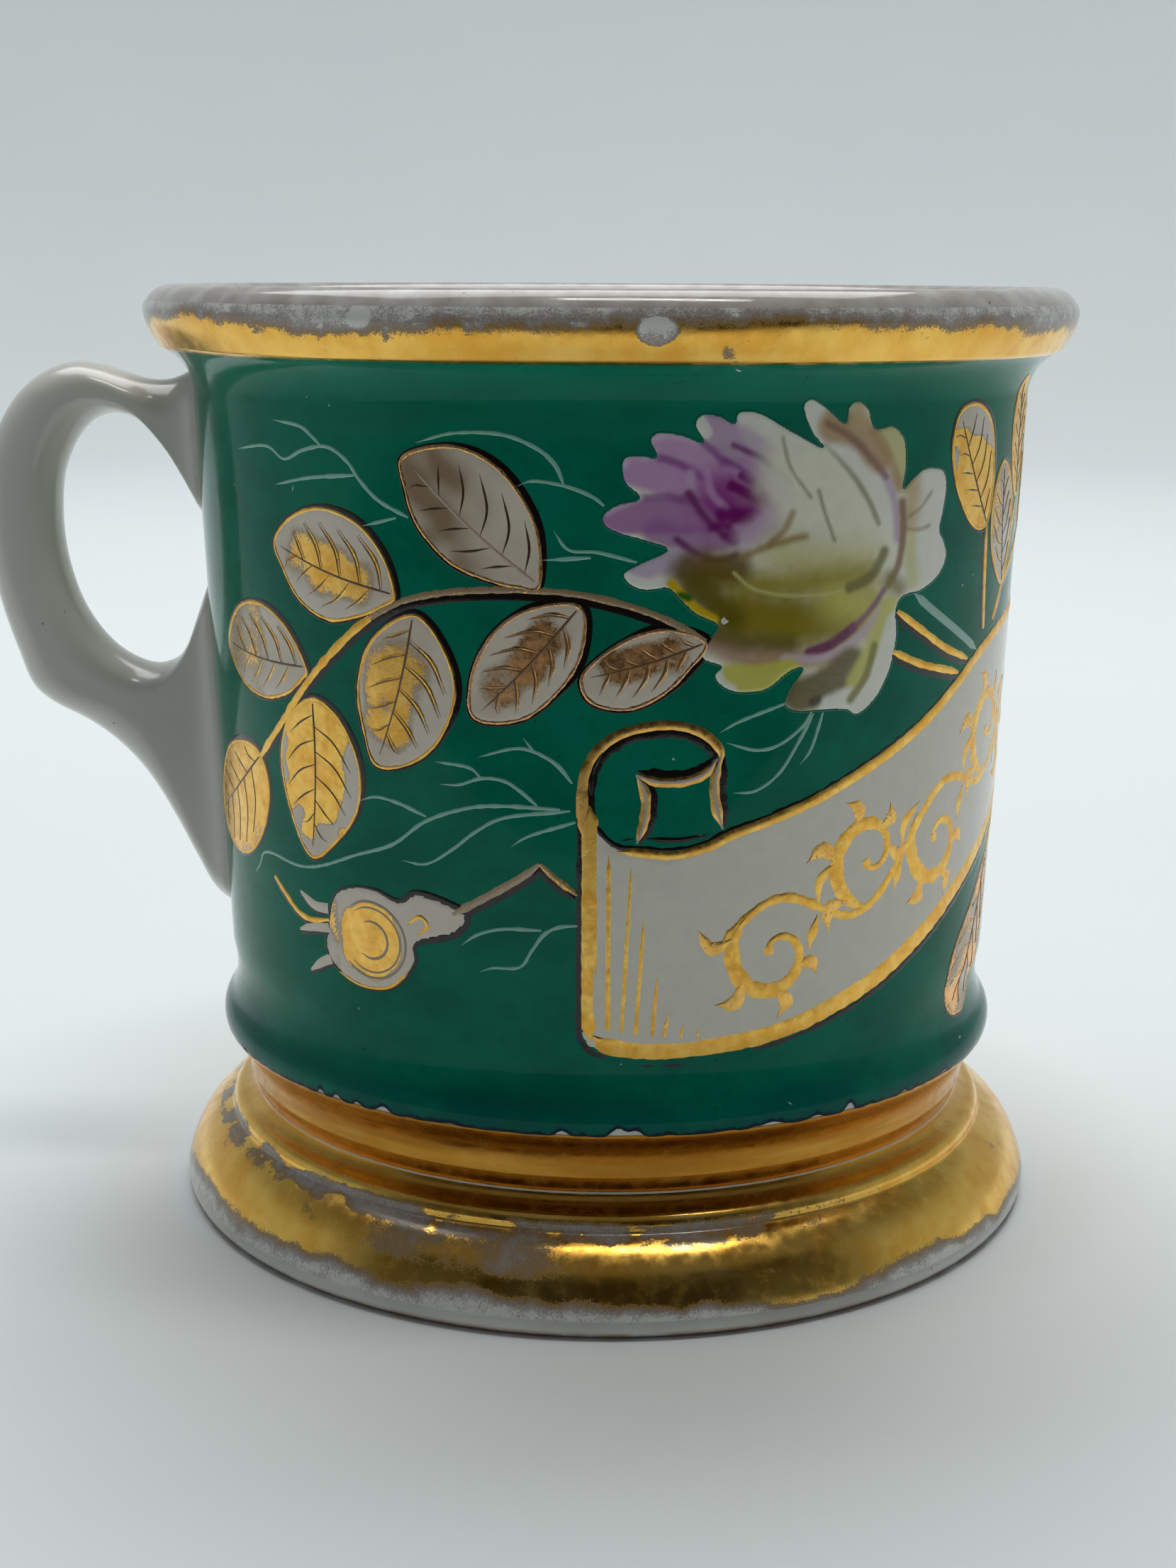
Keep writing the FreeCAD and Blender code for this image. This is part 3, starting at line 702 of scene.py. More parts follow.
# Stations along the handle from its upper root to its lower one: a point on the back, and the
# point of the inside facing it.
HANDLE_STATIONS = (
    ((-43.2, 93.6), (-42.2, 73.4)), ((-44.6, 92.6), (-42.6, 73.9)), ((-47.8, 90.9), (-44.4, 75.4)),
    ((-50.6, 90.7), (-45.6, 78.0)), ((-53.4, 91.5), (-47.0, 81.2)), ((-56.0, 92.3), (-49.3, 84.6)),
    ((-58.9, 92.6), (-51.6, 86.3)), ((-62.0, 91.6), (-54.5, 87.0)), ((-64.6, 89.7), (-57.0, 86.2)),
    ((-66.9, 86.6), (-59.1, 83.9)), ((-68.6, 82.4), (-60.6, 80.4)), ((-69.3, 77.0), (-61.1, 76.0)),
    ((-69.0, 71.0), (-60.8, 71.4)), ((-67.9, 65.4), (-59.6, 66.8)), ((-66.4, 60.6), (-57.8, 63.4)),
    ((-65.0, 56.9), (-55.6, 60.9)), ((-62.8, 54.8), (-53.0, 59.3)), ((-58.6, 52.5), (-50.6, 58.9)),
    ((-55.0, 49.7), (-48.3, 60.0)), ((-51.9, 46.1), (-46.6, 62.6)), ((-49.0, 41.2), (-45.5, 66.0)),
    ((-46.6, 36.4), (-44.3, 69.3)), ((-44.4, 32.6), (-43.0, 70.8)), ((-40.8, 30.2), (-42.0, 71.2)),
)
HANDLE_SECTIONS = 150
# How deep the rounding of the handle's edges goes, and how much and how far from the wall the
# slip widens its ends.
HANDLE_EDGE = 4.1
LUTE_FLARE = 1.5
LUTE_REACH = 1.3


def handle_section(back, inside, count=14):
    """One section: a strap with rounded edges between its back and its inside, as (x, y, z).
    Every section has the same number of points."""
    length = math.hypot(*(inside - back))
    edge = min(HANDLE_EDGE, length / 2)
    depths = [edge * (1 - math.cos(math.pi / 2 * i / count)) for i in range(count + 1)]
    flats = 6
    if length > 2 * edge + 0.2:
        middle = [edge + (length - 2 * edge) * i / flats for i in range(1, flats)]
    else:
        middle = [length / 2] * (flats - 1)
    depths += middle + [length - d for d in depths[::-1]]
    half = []
    for depth in depths:
        x, z = back + (inside - back) * depth / length
        inward = min(depth, length - depth, edge) / edge
        width = HANDLE_HALF_WIDTH * max(0.0, 1 - (1 - inward) ** 2.3) ** 0.5
        off_wall = max(0.0, abs(x) - float(wall_radius(z)))
        if inward > 0.05:
            swell = LUTE_FLARE * math.exp(-off_wall / LUTE_REACH)
            width += swell * smooth_step(0.05, 0.8, inward)
        half.append((x, width, z))
    other = [(x, -y, z) for x, y, z in half[1:-1][::-1]]
    return half + other


def make_handle():
    """The ear handle with its thumb spur, and the slip that blends it into the wall."""
    sides = []
    for side in (0, 1):
        curve = curve_through([station[side] for station in HANDLE_STATIONS], step=0.5)
        sides.append((curve, station_places(curve, side)))
    count = HANDLE_SECTIONS
    places, faces = [], []
    for i in range(count + 1):
        back, inside = (at_share(curve, stops, i / count) for curve, stops in sides)
        places += handle_section(back, inside)
    ring = len(places) // (count + 1)
    for i in range(count):
        for j in range(ring):
            k = (j + 1) % ring
            faces.append((i * ring + j, i * ring + k, (i + 1) * ring + k, (i + 1) * ring + j))
    faces.append(tuple(range(ring))[::-1])
    faces.append(tuple(count * ring + j for j in range(ring)))
    return make_object("ear_handle", places, faces, sharp=60.0)


def station_places(curve, side):
    """Where each handle station falls along its curve, as a point number. side is 0 for the
    backs and 1 for the insides."""
    found = []
    for station in HANDLE_STATIONS:
        gaps = np.hypot(*(curve - np.array(station[side])).T)
        found.append(int(np.argmin(gaps)))
    return found


def at_share(curve, stops, share):
    """The point of a curve at a share of the way along the stations."""
    place = share * (len(stops) - 1)
    index = min(int(place), len(stops) - 2)
    number = stops[index] + (place - index) * (stops[index + 1] - stops[index])
    low = min(int(number), len(curve) - 2)
    return curve[low] + (curve[low + 1] - curve[low]) * (number - low)


# ---------------------------------------------------------------- painting

BLACK = srgb(24, 16, 12)
UMBER = srgb(74, 48, 22)
LEAF_WHITE = srgb(228, 216, 199)
LEAF_ROSY = srgb(204, 184, 160)
BROWN_WASH = srgb(128, 96, 54)
ROOTLET = srgb(140, 190, 172)
RIBBON_WHITE = srgb(228, 222, 208)
WORN_STEM = srgb(172, 154, 130)
WORN_WHITE = srgb(186, 178, 164)
FAINT_INK = srgb(112, 82, 48)
NO_PAINT = srgb(200, 180, 120)
# How far the edges of a painted shape sink below the face of the enamel.
BURIED = -0.04


class Layer:
    """Painted shapes on the wall, gathered into one mesh."""

    def __init__(self, name):
        self.name = name
        self.places, self.faces = [], []
        self.paint, self.gilt, self.copper = [], [], []

    def take(self, flat, lift, faces, paint, gilt, copper):
        """Add points given as (arc, height) and lift above the enamel, with their paint."""
        first = len(self.places)
        flat = np.array(flat, float)
        radius = wall_radius(flat[:, 1]) + lift
        angle = flat[:, 0] / WALL_RADIUS
        spots = np.stack([radius * np.sin(angle), -radius * np.cos(angle), flat[:, 1]], 1)
        self.places += spots.tolist()
        self.faces += [tuple(first + index for index in face) for face in faces]
        count = len(flat)
        self.paint += np.broadcast_to(paint, (count, 3)).tolist()
        self.gilt += np.broadcast_to(gilt, (count,)).tolist()
        self.copper += np.broadcast_to(copper, (count,)).tolist()

    def stroke(self, points, width, lift=0.05, paint=NO_PAINT, gilt=0.0, copper=0.0,
               closed=False, taper=(0.0, 0.0), step=0.3, wobble=0.0):
        """A brush stroke with a rounded back. width is a number or one for each point of the
        path; taper is the share of the width left at each end."""
        path = curve_through(points, step, closed)
        count = len(path)
        share = np.linspace(0, 1, count)
        if np.ndim(width):
            width = np.interp(share, np.linspace(0, 1, len(width)), width)
        width = np.broadcast_to(np.array(width, float), (count,)).copy()
        if wobble:
            width *= [1 + wobble * noise.noise(Vector((p[0], p[1], 3.0)) * 1.3) for p in path]
        if not closed:
            start, end = taper
            ease_in = np.minimum(1, share * count * step / 1.5)
            ease_out = np.minimum(1, (1 - share) * count * step / 1.5)
            width *= (start + (1 - start) * ease_in) * (end + (1 - end) * ease_out) + 0.02
        side = leftward(path, closed)
        across = (1.0, 0.55, 0.0, -0.55, -1.0)
        heights = (BURIED, 0.8 * lift, lift, 0.8 * lift, BURIED)
        flat, rise, faces = [], [], []
        for i in range(count):
            for offset, height in zip(across, heights):
                flat.append(path[i] + side[i] * offset * width[i] / 2)
                rise.append(height)
        ring = len(across)
        for i in range(count if closed else count - 1):
            low, high = i * ring, (i + 1) % count * ring
            for j in range(ring):
                k = (j + 1) % ring
                faces.append((low + k, low + j, high + j, high + k))
        if not closed:
            faces.append(tuple(range(ring)))
            faces.append(tuple((count - 1) * ring + j for j in range(ring))[::-1])
        self.take(flat, np.array(rise), faces, paint, gilt, copper)

    def patch(self, edge, painter, lift=0.04, spacing=0.4):
        """A filled shape with a rounded edge. painter gives paint, gilt and copper for points."""
        edge = np.array(edge, float)
        low, high = edge.min(0), edge.max(0)
        rows = np.arange(low[1], high[1], spacing * 0.87)
        shifts = (0.0, 0.5 * spacing)
        grid = np.array([
            (s, z) for row, z in enumerate(rows)
            for s in np.arange(low[0] + shifts[row % 2], high[0], spacing)
        ])
        clear = inside_polygon(grid, edge) & (distance_to(grid, edge, True) > spacing * 0.6)
        flat = np.concatenate([edge, grid[clear]])
        count = len(edge)
        border = [(i, (i + 1) % count) for i in range(count)]
        result = delaunay_2d_cdt([Vector(p) for p in flat], border, [], 1, 1e-6)
        flat = np.array([tuple(p) for p in result[0]])
        faces = [tuple(face) for face in result[2]]
        from_edge = distance_to(flat, edge, True)
        rise = BURIED + (lift - BURIED) * smooth_step(0.0, 0.25, from_edge)
        paint, gilt, copper = painter(flat)
        self.take(flat, rise, [turned_out(face, flat) for face in faces], paint, gilt, copper)
        back = np.where(from_edge < 1e-4, BURIED, BURIED - 0.02)
        self.take(flat, back, [turned_out(face, flat)[::-1] for face in faces], paint, gilt, copper)

    def build(self):
        facts = {"paint": self.paint, "gilt": self.gilt, "copper": self.copper}
        return make_object(self.name, self.places, self.faces, sharp=50.0, facts=facts)


def turned_out(face, flat):
    """The same face, wound so that it looks away from the mug."""
    a, b, c = (flat[index] for index in face[:3])
    turn = (b[0] - a[0]) * (c[1] - a[1]) - (b[1] - a[1]) * (c[0] - a[0])
    return face if turn > 0 else face[::-1]


def inside_polygon(points, edge):
    """Which points lie inside a closed outline."""
    inside = np.zeros(len(points), bool)
    for (s0, z0), (s1, z1) in zip(edge, np.roll(edge, -1, 0)):
        if z0 == z1:
            continue
        crosses = (z0 > points[:, 1]) != (z1 > points[:, 1])
        inside ^= crosses & (points[:, 0] < (s1 - s0) * (points[:, 1] - z0) / (z1 - z0) + s0)
    return inside


def distance_to(points, path, closed=False):
    """Distance of each point from a polyline."""
    path = np.array(path, float)
    ends = np.roll(path, -1, 0) if closed else path[1:]
    best = np.full(len(points), 1e9)
    for start, end in zip(path if closed else path[:-1], ends):
        along = end - start
        share = np.clip((points - start) @ along / max(along @ along, 1e-12), 0, 1)
        gap = points - start - share[:, None] * along
        best = np.minimum(best, np.hypot(*gap.T))
    return best


def plain(paint):
    """A painter that lays one colour and no gold."""
    return lambda flat: (paint, 0.0, 0.0)


# ---- leaves

# Front leaves: outline from the stalk end round, and how each is gilded.
FRONT_LEAVES = (
    (((-21.0, 72.4), (-22.2, 76.2), (-25.2, 79.2), (-29.8, 80.3), (-34.2, 79.0), (-37.0, 76.4),
      (-35.8, 73.8), (-33.4, 70.8), (-29.4, 69.2), (-25.4, 69.9), (-22.4, 71.2)), "veined"),
    (((-6.6, 73.9), (-6.9, 79.6), (-10.0, 84.6), (-14.6, 86.8), (-19.8, 85.7), (-19.8, 82.8),
      (-18.6, 79.2), (-15.4, 75.8), (-11.4, 74.2), (-8.6, 73.7)), "brown"),
    (((-32.7, 64.2), (-35.6, 68.0), (-40.2, 69.9), (-45.4, 68.9), (-48.9, 64.9), (-46.0, 61.4),
      (-41.0, 60.0), (-36.4, 60.9), (-33.6, 62.8)), "pale"),
    (((-42.0, 53.9), (-46.2, 54.7), (-51.6, 53.2), (-56.4, 49.0), (-58.2, 44.6), (-53.4, 42.0),
      (-47.6, 42.0), (-43.0, 45.0), (-40.7, 50.0)), "gold"),
    (((-32.2, 61.3), (-28.4, 59.6), (-26.1, 55.2), (-26.6, 50.4), (-29.6, 46.8), (-33.6, 44.4),
      (-36.6, 48.2), (-38.1, 53.8), (-36.4, 58.6)), "gilded"),
    (((-19.2, 70.8), (-16.2, 68.0), (-14.9, 63.6), (-16.6, 58.8), (-20.0, 55.9), (-24.1, 55.3),
      (-25.5, 58.6), (-26.0, 63.2), (-24.0, 68.0)), "veined"),
    (((-2.9, 72.2), (-2.7, 67.8), (-4.8, 64.0), (-8.6, 61.0), (-13.3, 61.0), (-13.5, 65.0),
      (-11.4, 69.2), (-7.8, 71.8)), "copper"),
    (((8.9, 68.7), (5.4, 70.0), (2.0, 69.4), (-1.2, 67.4), (-3.0, 65.2), (-2.0, 62.9),
      (1.4, 62.2), (4.8, 63.6), (7.4, 66.2)), "copper"),
    (((44.6, 77.6), (45.6, 82.0), (44.2, 87.6), (40.8, 90.0), (37.2, 89.4), (36.2, 86.0),
      (37.8, 81.4), (41.2, 77.8)), "gilded"),
    (((55.6, 40.8), (49.4, 36.2), (45.2, 32.2), (44.0, 28.2), (46.0, 24.8), (50.6, 24.6),
      (54.6, 29.4), (56.8, 35.6)), "rosy"),
    (((51.0, 70.8), (53.4, 75.0), (52.4, 80.4), (48.4, 84.0), (45.8, 80.4), (46.6, 74.6)), "pale"),
    (((55.0, 79.6), (58.4, 84.0), (57.6, 89.2), (53.4, 92.4), (50.6, 88.6), (51.4, 83.2)), "gold"),
)
# Other leaves, round the sides and back: stalk end, tip, width and gilding.
OTHER_LEAVES = (
    ((60.0, 76.0), (68.4, 85.6), 8.4, "veined"), ((70.0, 41.0), (78.0, 28.4), 8.6, "gold"),
    ((84.0, 49.0), (96.0, 39.0), 9.4, "gilded"), ((86.0, 47.0), (80.0, 33.6), 9.0, "pale"),
    ((98.0, 80.4), (88.0, 89.0), 9.0, "rosy"), ((108.0, 56.0), (104.0, 42.0), 9.4, "veined"),
    ((113.0, 58.0), (120.0, 45.0), 9.4, "gilded"), ((-88.0, 52.0), (-84.0, 38.4), 8.8, "copper"),
    ((-90.0, 60.0), (-83.0, 72.0), 8.8, "pale"), ((-99.0, 70.0), (-90.0, 81.6), 9.6, "gilded"),
    ((-98.0, 66.0), (-103.0, 51.0), 10.2, "gold"), ((-110.0, 73.0), (-105.0, 88.0), 10.0, "veined"),
    ((-112.0, 72.0), (-118.0, 57.0), 10.2, "copper"),
    ((-124.0, 70.0), (-131.0, 58.0), 9.4, "brown"),
)
STEM = ((-42.2, 53.6), (-37.2, 58.2), (-32.8, 62.7), (-28.6, 66.5), (-24.8, 69.5), (-20.8, 71.7),
        (-15.6, 73.0), (-9.2, 73.5), (-3.0, 73.2), (3.2, 71.6), (8.8, 68.9))
ROSE_STEMS = (
    ((29.6, 70.4), (33.0, 68.4), (37.6, 65.9), (42.4, 64.2)),
    ((29.4, 66.4), (34.0, 64.6), (40.6, 63.0)),
)
OTHER_STEMS = (
    ((46.0, 66.8), (45.2, 72.0), (44.6, 77.6)), ((48.6, 67.4), (51.0, 70.8), (55.0, 79.6)),
    ((51.0, 70.8), (60.0, 76.0)), ((62.0, 45.6), (58.6, 43.0), (55.6, 40.8)),
    ((66.0, 46.4), (70.0, 41.0)), ((90.0, 55.0), (86.0, 51.0), (84.0, 49.0), (86.0, 47.0)),
    ((106.0, 80.0), (98.0, 80.4)), ((117.0, 65.4), (113.0, 58.0), (108.0, 56.0)),
    ((-82.0, 46.0), (-88.0, 52.0), (-90.0, 60.0), (-99.0, 68.6), (-110.0, 73.0), (-124.0, 70.0)),
)
# How coppery the gold of each kind of leaf is.
GOLD_TONE = {
    "gilded": 0.0, "gold": 0.0, "veined": 0.1, "pale": 0.1, "copper": 1.0, "brown": 0.5,
    "rosy": 0.7,
}


def leaf_axes(base, tip):
    """Length of a leaf, and unit directions along it and to its left."""
    length = math.hypot(*(tip - base))
    ahead = (tip - base) / length
    return length, ahead, np.array((-ahead[1], ahead[0]))


def leaf_edge(base, tip, width):
    """Outline of a plain leaf from its stalk end round."""
    base, tip = np.array(base), np.array(tip)
    along = tip - base
    across = leaf_axes(base, tip)[2] * width
    half = ((0.0, 0.0), (0.2, 0.38), (0.5, 0.5), (0.8, 0.32))
    one = [base + along * t + across * w for t, w in half]
    other = [base + along * t - across * w for t, w in ((1.0, 0.0),) + half[:0:-1]]
    return [tuple(p) for p in one + other]


def leaf_painter(base, tip, half_width, kind):
    """Paint and gold of one leaf, by where a point lies along and across it."""
    length, ahead, side = leaf_axes(base, tip)

    def painter(flat):
        u = (flat - base) @ ahead / length
        v = (flat - base) @ side / half_width
        blot = np.array([noise.noise(Vector((s * 0.35, z * 0.35, 5.0))) for s, z in flat])
        heart = 1 - smooth_step(0.15, 0.75, np.abs(v))
        middle = smooth_step(0.05, 0.3, u) * (1 - smooth_step(0.72, 0.95, u))
        paint = np.outer(1 - 0.4 * heart, LEAF_WHITE) + np.outer(0.4 * heart, LEAF_ROSY)
        gilt = np.zeros(len(flat))
        if kind == "gilded":
            gilt = 0.85 * (1 - smooth_step(0.62, 0.74, np.abs(v) + 0.4 * blot))
            gilt *= 1 - smooth_step(0.74, 0.82, u + 0.25 * blot)
        if kind == "gold":
            gilt = 0.9 - 0.35 * smooth_step(0.55, 0.95, np.abs(v) + 0.5 * blot)
        if kind == "veined":
            gilt = 0.74 * heart * middle + 0.5 * blot * middle
        if kind == "pale":
            gilt = 0.42 * smooth_step(0.2, 0.6, u) + 0.25 * blot
        if kind == "copper":
            gilt = 0.78 * heart * middle + 0.6 * blot * middle
        if kind == "rosy":
            gilt = 0.48 + 0.4 * blot
            paint = np.outer(np.ones(len(flat)), LEAF_ROSY)
        if kind == "brown":
            wash = smooth_step(0.35, 0.75, u) * (0.4 + heart) + smooth_step(0.1, 0.7, v)
            wash = 0.8 * np.clip(wash, 0, 1) * np.clip(0.85 + blot, 0, 1)
            paint = paint * (1 - wash[:, None]) + np.outer(wash, BROWN_WASH)
        return paint, np.clip(gilt, 0, 1), GOLD_TONE[kind]

    return painter


def vein_paths(base, tip, half_width, rim):
    """The midrib of a leaf and its side veins, which leave it at a slant and end inside it."""
    length, ahead, side = leaf_axes(base, tip)
    along = tip - base
    bow = side * half_width * 0.08
    rib = [base + along * t + bow * math.sin(math.pi * t) for t in (0.04, 0.3, 0.55, 0.8, 0.92)]
    veins = []
    for number in range(5):
        for way in (1, -1):
            u = 0.14 + 0.15 * number + 0.035 * way
            start = base + along * u + bow * math.sin(math.pi * u)
            for reach in (0.78, 0.66, 0.54, 0.42, 0.30):
                swing = side * way * half_width * reach
                end = start + ahead * 0.22 * length * reach / 0.78 + swing
                spot = end[None, :]
                if inside_polygon(spot, rim)[0] and distance_to(spot, rim, True)[0] > 0.8:
                    break
            bend = start + ahead * 0.07 * length + swing * 0.55
            veins.append([start, bend, end])
    return rib, veins


# Which way from a leaf's middle its dark outline is widest: right and a little up.
LEE = np.array((0.86, 0.5))


def paint_leaf(layer, edge, kind):
    """One leaf: its body, gold edge, shadow line and veins."""
    base = np.array(edge[0])
    tip = max((np.array(p) for p in edge), key=lambda p: math.hypot(*(p - base)))
    middle = np.mean(edge, axis=0)
    side = leaf_axes(base, tip)[2]
    half_width = max(abs((np.array(p) - (base + tip) / 2) @ side) for p in edge)
    rim = curve_through(edge, 0.45, closed=True)
    outward = rim - middle
    outward /= np.hypot(*outward.T)[:, None]
    lee = np.clip(outward @ LEE, -1, 1)
    shade = 0.17 + 0.48 * smooth_step(0.1, 0.95, lee)
    layer.stroke(rim + outward * 0.12, shade * 2, 0.03, BLACK, closed=True, step=0.45)
    layer.patch(rim, leaf_painter(base, tip, half_width, kind), 0.05)
    bright = 0.8 if kind in ("gilded", "gold", "veined", "pale") else 0.56
    ring = rim - outward * 0.20
    layer.stroke(ring, 0.46, 0.085, LEAF_ROSY, bright, GOLD_TONE[kind], closed=True, step=0.45,
                 wobble=0.6)
    rib, veins = vein_paths(base, tip, half_width, rim)
    if kind == "brown":
        layer.stroke(rib, (0.6, 0.5, 0.4, 0.3), 0.085, srgb(190, 166, 148), taper=(0.5, 0.1))
        for vein in veins:
            layer.stroke(vein, (0.24, 0.42, 0.24), 0.08, UMBER, taper=(0.2, 0.1))
        return
    engraved = kind in ("gilded", "gold")
    ink = UMBER if engraved else FAINT_INK
    for vein in veins:
        if not engraved:
            beside = [point + (0.22, 0.16) for point in vein]
            layer.stroke(beside, (0.30, 0.60, 0.2), 0.085, BROWN_WASH, 0.62, GOLD_TONE[kind],
                         taper=(0.1, 0.1), wobble=0.5)
        layer.stroke(vein, (0.22, 0.32, 0.18), 0.095, ink, taper=(0.5, 0.1))
    layer.stroke(rib, (0.40, 0.36, 0.28, 0.2), 0.1, ink, taper=(0.6, 0.1))


def paint_stem(layer, points, width, gilt, fade=None):
    """A stalk: gold over a dark line that shows on its lower side. fade is the share of the
    way after which the gold is worn."""
    path = curve_through(points, 0.5)
    side = -leftward(path)
    side *= np.where(side[:, 1:] > 0, -1, 1)
    layer.stroke(path + side * 0.42, width + 0.5, 0.03, BLACK, step=0.5, taper=(0.4, 0.3))
    if fade is None:
        layer.stroke(path, width, 0.08, LEAF_ROSY, gilt, step=0.5, taper=(0.6, 0.4), wobble=0.3)
        return
    cut = int(len(path) * fade)
    layer.stroke(path[:cut + 1], width, 0.08, LEAF_ROSY, gilt, step=0.5,
                 taper=(0.6, 1.0), wobble=0.3)
    layer.stroke(path[cut:], width * 0.8, 0.08, WORN_STEM, 0.42, 0.5, step=0.5,
                 taper=(1.0, 0.3), wobble=0.4)


# Pale hair roots and tendrils behind the leaves.
ROOTLETS = (
    ((-42.6, 85.1), (-37.3, 85.7), (-34.5, 84.6), (-31.7, 85.6), (-28.5, 86.1), (-26.1, 84.9),
     (-24.6, 83.1), (-22.5, 81.3), (-19.4, 79.9)),
    ((-35.9, 88.3), (-32.0, 87.9), (-30.2, 86.9), (-29.0, 86.0)),
    ((-36.1, 82.0), (-31.0, 83.0), (-25.0, 83.6)), ((-24.5, 78.8), (-20.7, 79.8)),
    ((-18.4, 86.9), (-14.6, 87.9), (-10.2, 87.9), (-7.1, 86.8), (-5.3, 85.3), (-4.4, 83.3)),
    ((-8.7, 83.2), (-7.2, 83.7), (-4.4, 83.3), (-2.0, 82.4), (-0.8, 81.5)),
    ((-5.4, 79.2), (-4.0, 77.4), (-1.4, 77.2), (2.2, 76.3)), ((-6.5, 76.4), (-2.0, 76.7)),
    ((-8.4, 59.4), (-7.2, 57.9)),
    ((-12.8, 57.3), (-9.4, 58.3), (-7.4, 58.1), (-5.2, 56.9), (-3.7, 55.1)),
    ((-17.4, 56.5), (-13.9, 56.2), (-12.6, 55.2)),
    ((-17.0, 54.3), (-14.9, 54.4), (-12.6, 55.2), (-10.4, 55.1), (-8.8, 54.2), (-7.1, 52.8)),
    ((-45.6, 40.4), (-44.2, 41.6), (-43.0, 43.1), (-40.6, 43.5), (-36.0, 43.2), (-32.2, 43.9),
     (-27.3, 45.8), (-22.5, 47.6), (-18.6, 50.4), (-14.2, 52.1), (-10.4, 52.6), (-4.9, 52.5)),
    ((-26.5, 51.5), (-24.3, 52.2), (-21.6, 51.9), (-18.5, 50.9)),
    ((-21.4, 46.1), (-18.6, 46.1), (-15.7, 47.9), (-13.2, 49.9), (-10.1, 51.5), (-3.9, 52.4)),
    ((-9.7, 48.6), (-7.8, 49.8), (-3.4, 51.3)),
    ((-15.1, 38.1), (-13.3, 39.4), (-10.6, 40.2), (-6.8, 40.3)),
    ((-13.1, 35.6), (-11.8, 36.1), (-9.0, 36.4), (-7.8, 38.1), (-6.5, 39.9), (-5.0, 40.7),
     (-3.2, 40.9)),
    ((10.3, 59.9), (12.5, 61.0), (16.9, 62.4)),
    ((11.0, 58.9), (14.1, 58.0), (16.5, 58.4), (18.9, 60.0), (19.8, 61.4)),
    ((18.8, 56.2), (20.0, 57.8), (21.1, 61.2)),
    ((11.8, 53.9), (14.2, 54.0), (16.6, 55.6), (18.6, 58.6), (20.0, 61.2)),
    ((60.0, 88.6), (63.4, 89.6), (66.6, 88.2), (68.8, 86.0)),
    ((72.0, 84.0), (76.0, 83.0), (80.0, 84.6), (86.0, 88.0)),
    ((70.0, 76.0), (75.0, 77.8), (81.0, 77.0), (86.0, 74.6)),
    ((62.0, 36.0), (66.0, 37.4), (70.0, 36.0)),
    ((88.0, 33.0), (92.0, 31.6), (97.0, 33.0), (101.0, 36.0)),
    ((98.0, 33.6), (103.0, 34.0), (108.0, 37.4)), ((122.0, 52.0), (127.0, 54.0), (131.0, 52.4)),
    ((-136.0, 82.0), (-131.0, 84.0), (-126.0, 82.0), (-120.0, 84.4)),
    ((-134.0, 78.0), (-128.0, 78.4), (-122.0, 76.4)), ((-86.0, 84.0), (-81.6, 86.4), (-78.4, 85.4)),
    ((-126.0, 46.0), (-121.0, 47.6), (-116.0, 46.0), (-112.0, 43.4)),
    ((-98.0, 36.0), (-94.0, 33.4), (-88.0, 33.0)),
)


# The one broad pale stalk, to the right of the rose.
PALE_STALK = ((31.8, 72.0), (36.0, 69.4), (44.6, 64.8))


def paint_rootlets(layer):
    """The rootlets, which thicken towards their far ends, and the pale stalk."""
    for path in ROOTLETS:
        layer.stroke(path, (0.34, 0.46, 0.56), 0.035, ROOTLET, taper=(0.15, 0.5), wobble=0.35)
    layer.stroke(PALE_STALK, 1.15, 0.04, srgb(150, 190, 176))


def build_leaves():
    """Every leaf and its stalk, and the pale rootlets behind them."""
    front, back, hairs = Layer("leaf_spray_front"), Layer("leaf_sprays_back"), Layer("rootlets")
    paint_rootlets(hairs)
    paint_stem(front, STEM, 1.05, 0.85, fade=0.42)
    for edge, kind in FRONT_LEAVES:
        paint_leaf(front, edge, kind)
    for stem in ROSE_STEMS:
        paint_stem(front, stem, 1.0, 0.95)
    for stem in OTHER_STEMS:
        paint_stem(back, stem, 0.9, 0.8)
    for base, tip, width, kind in OTHER_LEAVES:
        paint_leaf(back, leaf_edge(base, tip, width), kind)
    finish(front.build(), PAINTED, "leaf_gold", "leaf_sprays")
    finish(back.build(), PAINTED, "leaf_gold")
    finish(hairs.build(), PAINTED, "rose_painting")


# ---- rosebuds

BUD_SCALE = 1.1
BUD_EDGE = (
    (-5.2, 0.7), (-5.6, -1.4), (-4.7, -3.0), (-2.2, -4.4), (0.8, -4.6), (3.4, -3.6), (5.2, -1.2),
    (5.4, 0.6), (9.4, 2.0), (10.6, 3.8), (8.8, 4.8), (5.6, 5.4), (3.6, 4.4), (1.0, 5.1),
    (-2.0, 4.9), (-4.2, 3.6),
)
LEE_OF_BUD = np.array((0.125, 0.075))
BUD_HORNS = (
    ((-5.0, 2.2), (-7.0, 2.2), (-9.0, 3.2)), ((-5.0, 0.4), (-7.4, 0.0), (-9.4, -0.6)),
    ((-4.9, -2.6), (-6.2, -3.2), (-8.0, -4.3)),
)
BUD_KEEL = ((-4.0, -3.6), (-1.0, -4.4), (2.2, -4.0), (4.6, -2.0))
BUD_CALYX = ((4.4, 2.2), (5.8, 3.2), (6.6, 2.4), (5.4, 1.4))
# Crescents on the heart of a bud: radius, first and last angle, width.
BUD_CRESCENTS = ((3.9, -2.4, 2.2, 0.476), (3.3, -2.3, 2.2, 0.336), (1.9, -2.2, 2.0, 0.476))
TENDRIL = ((-4.9, 1.2), (-7.4, 0.7), (-9.4, 1.0), (-11.3, 2.2), (-13.4, 3.7))


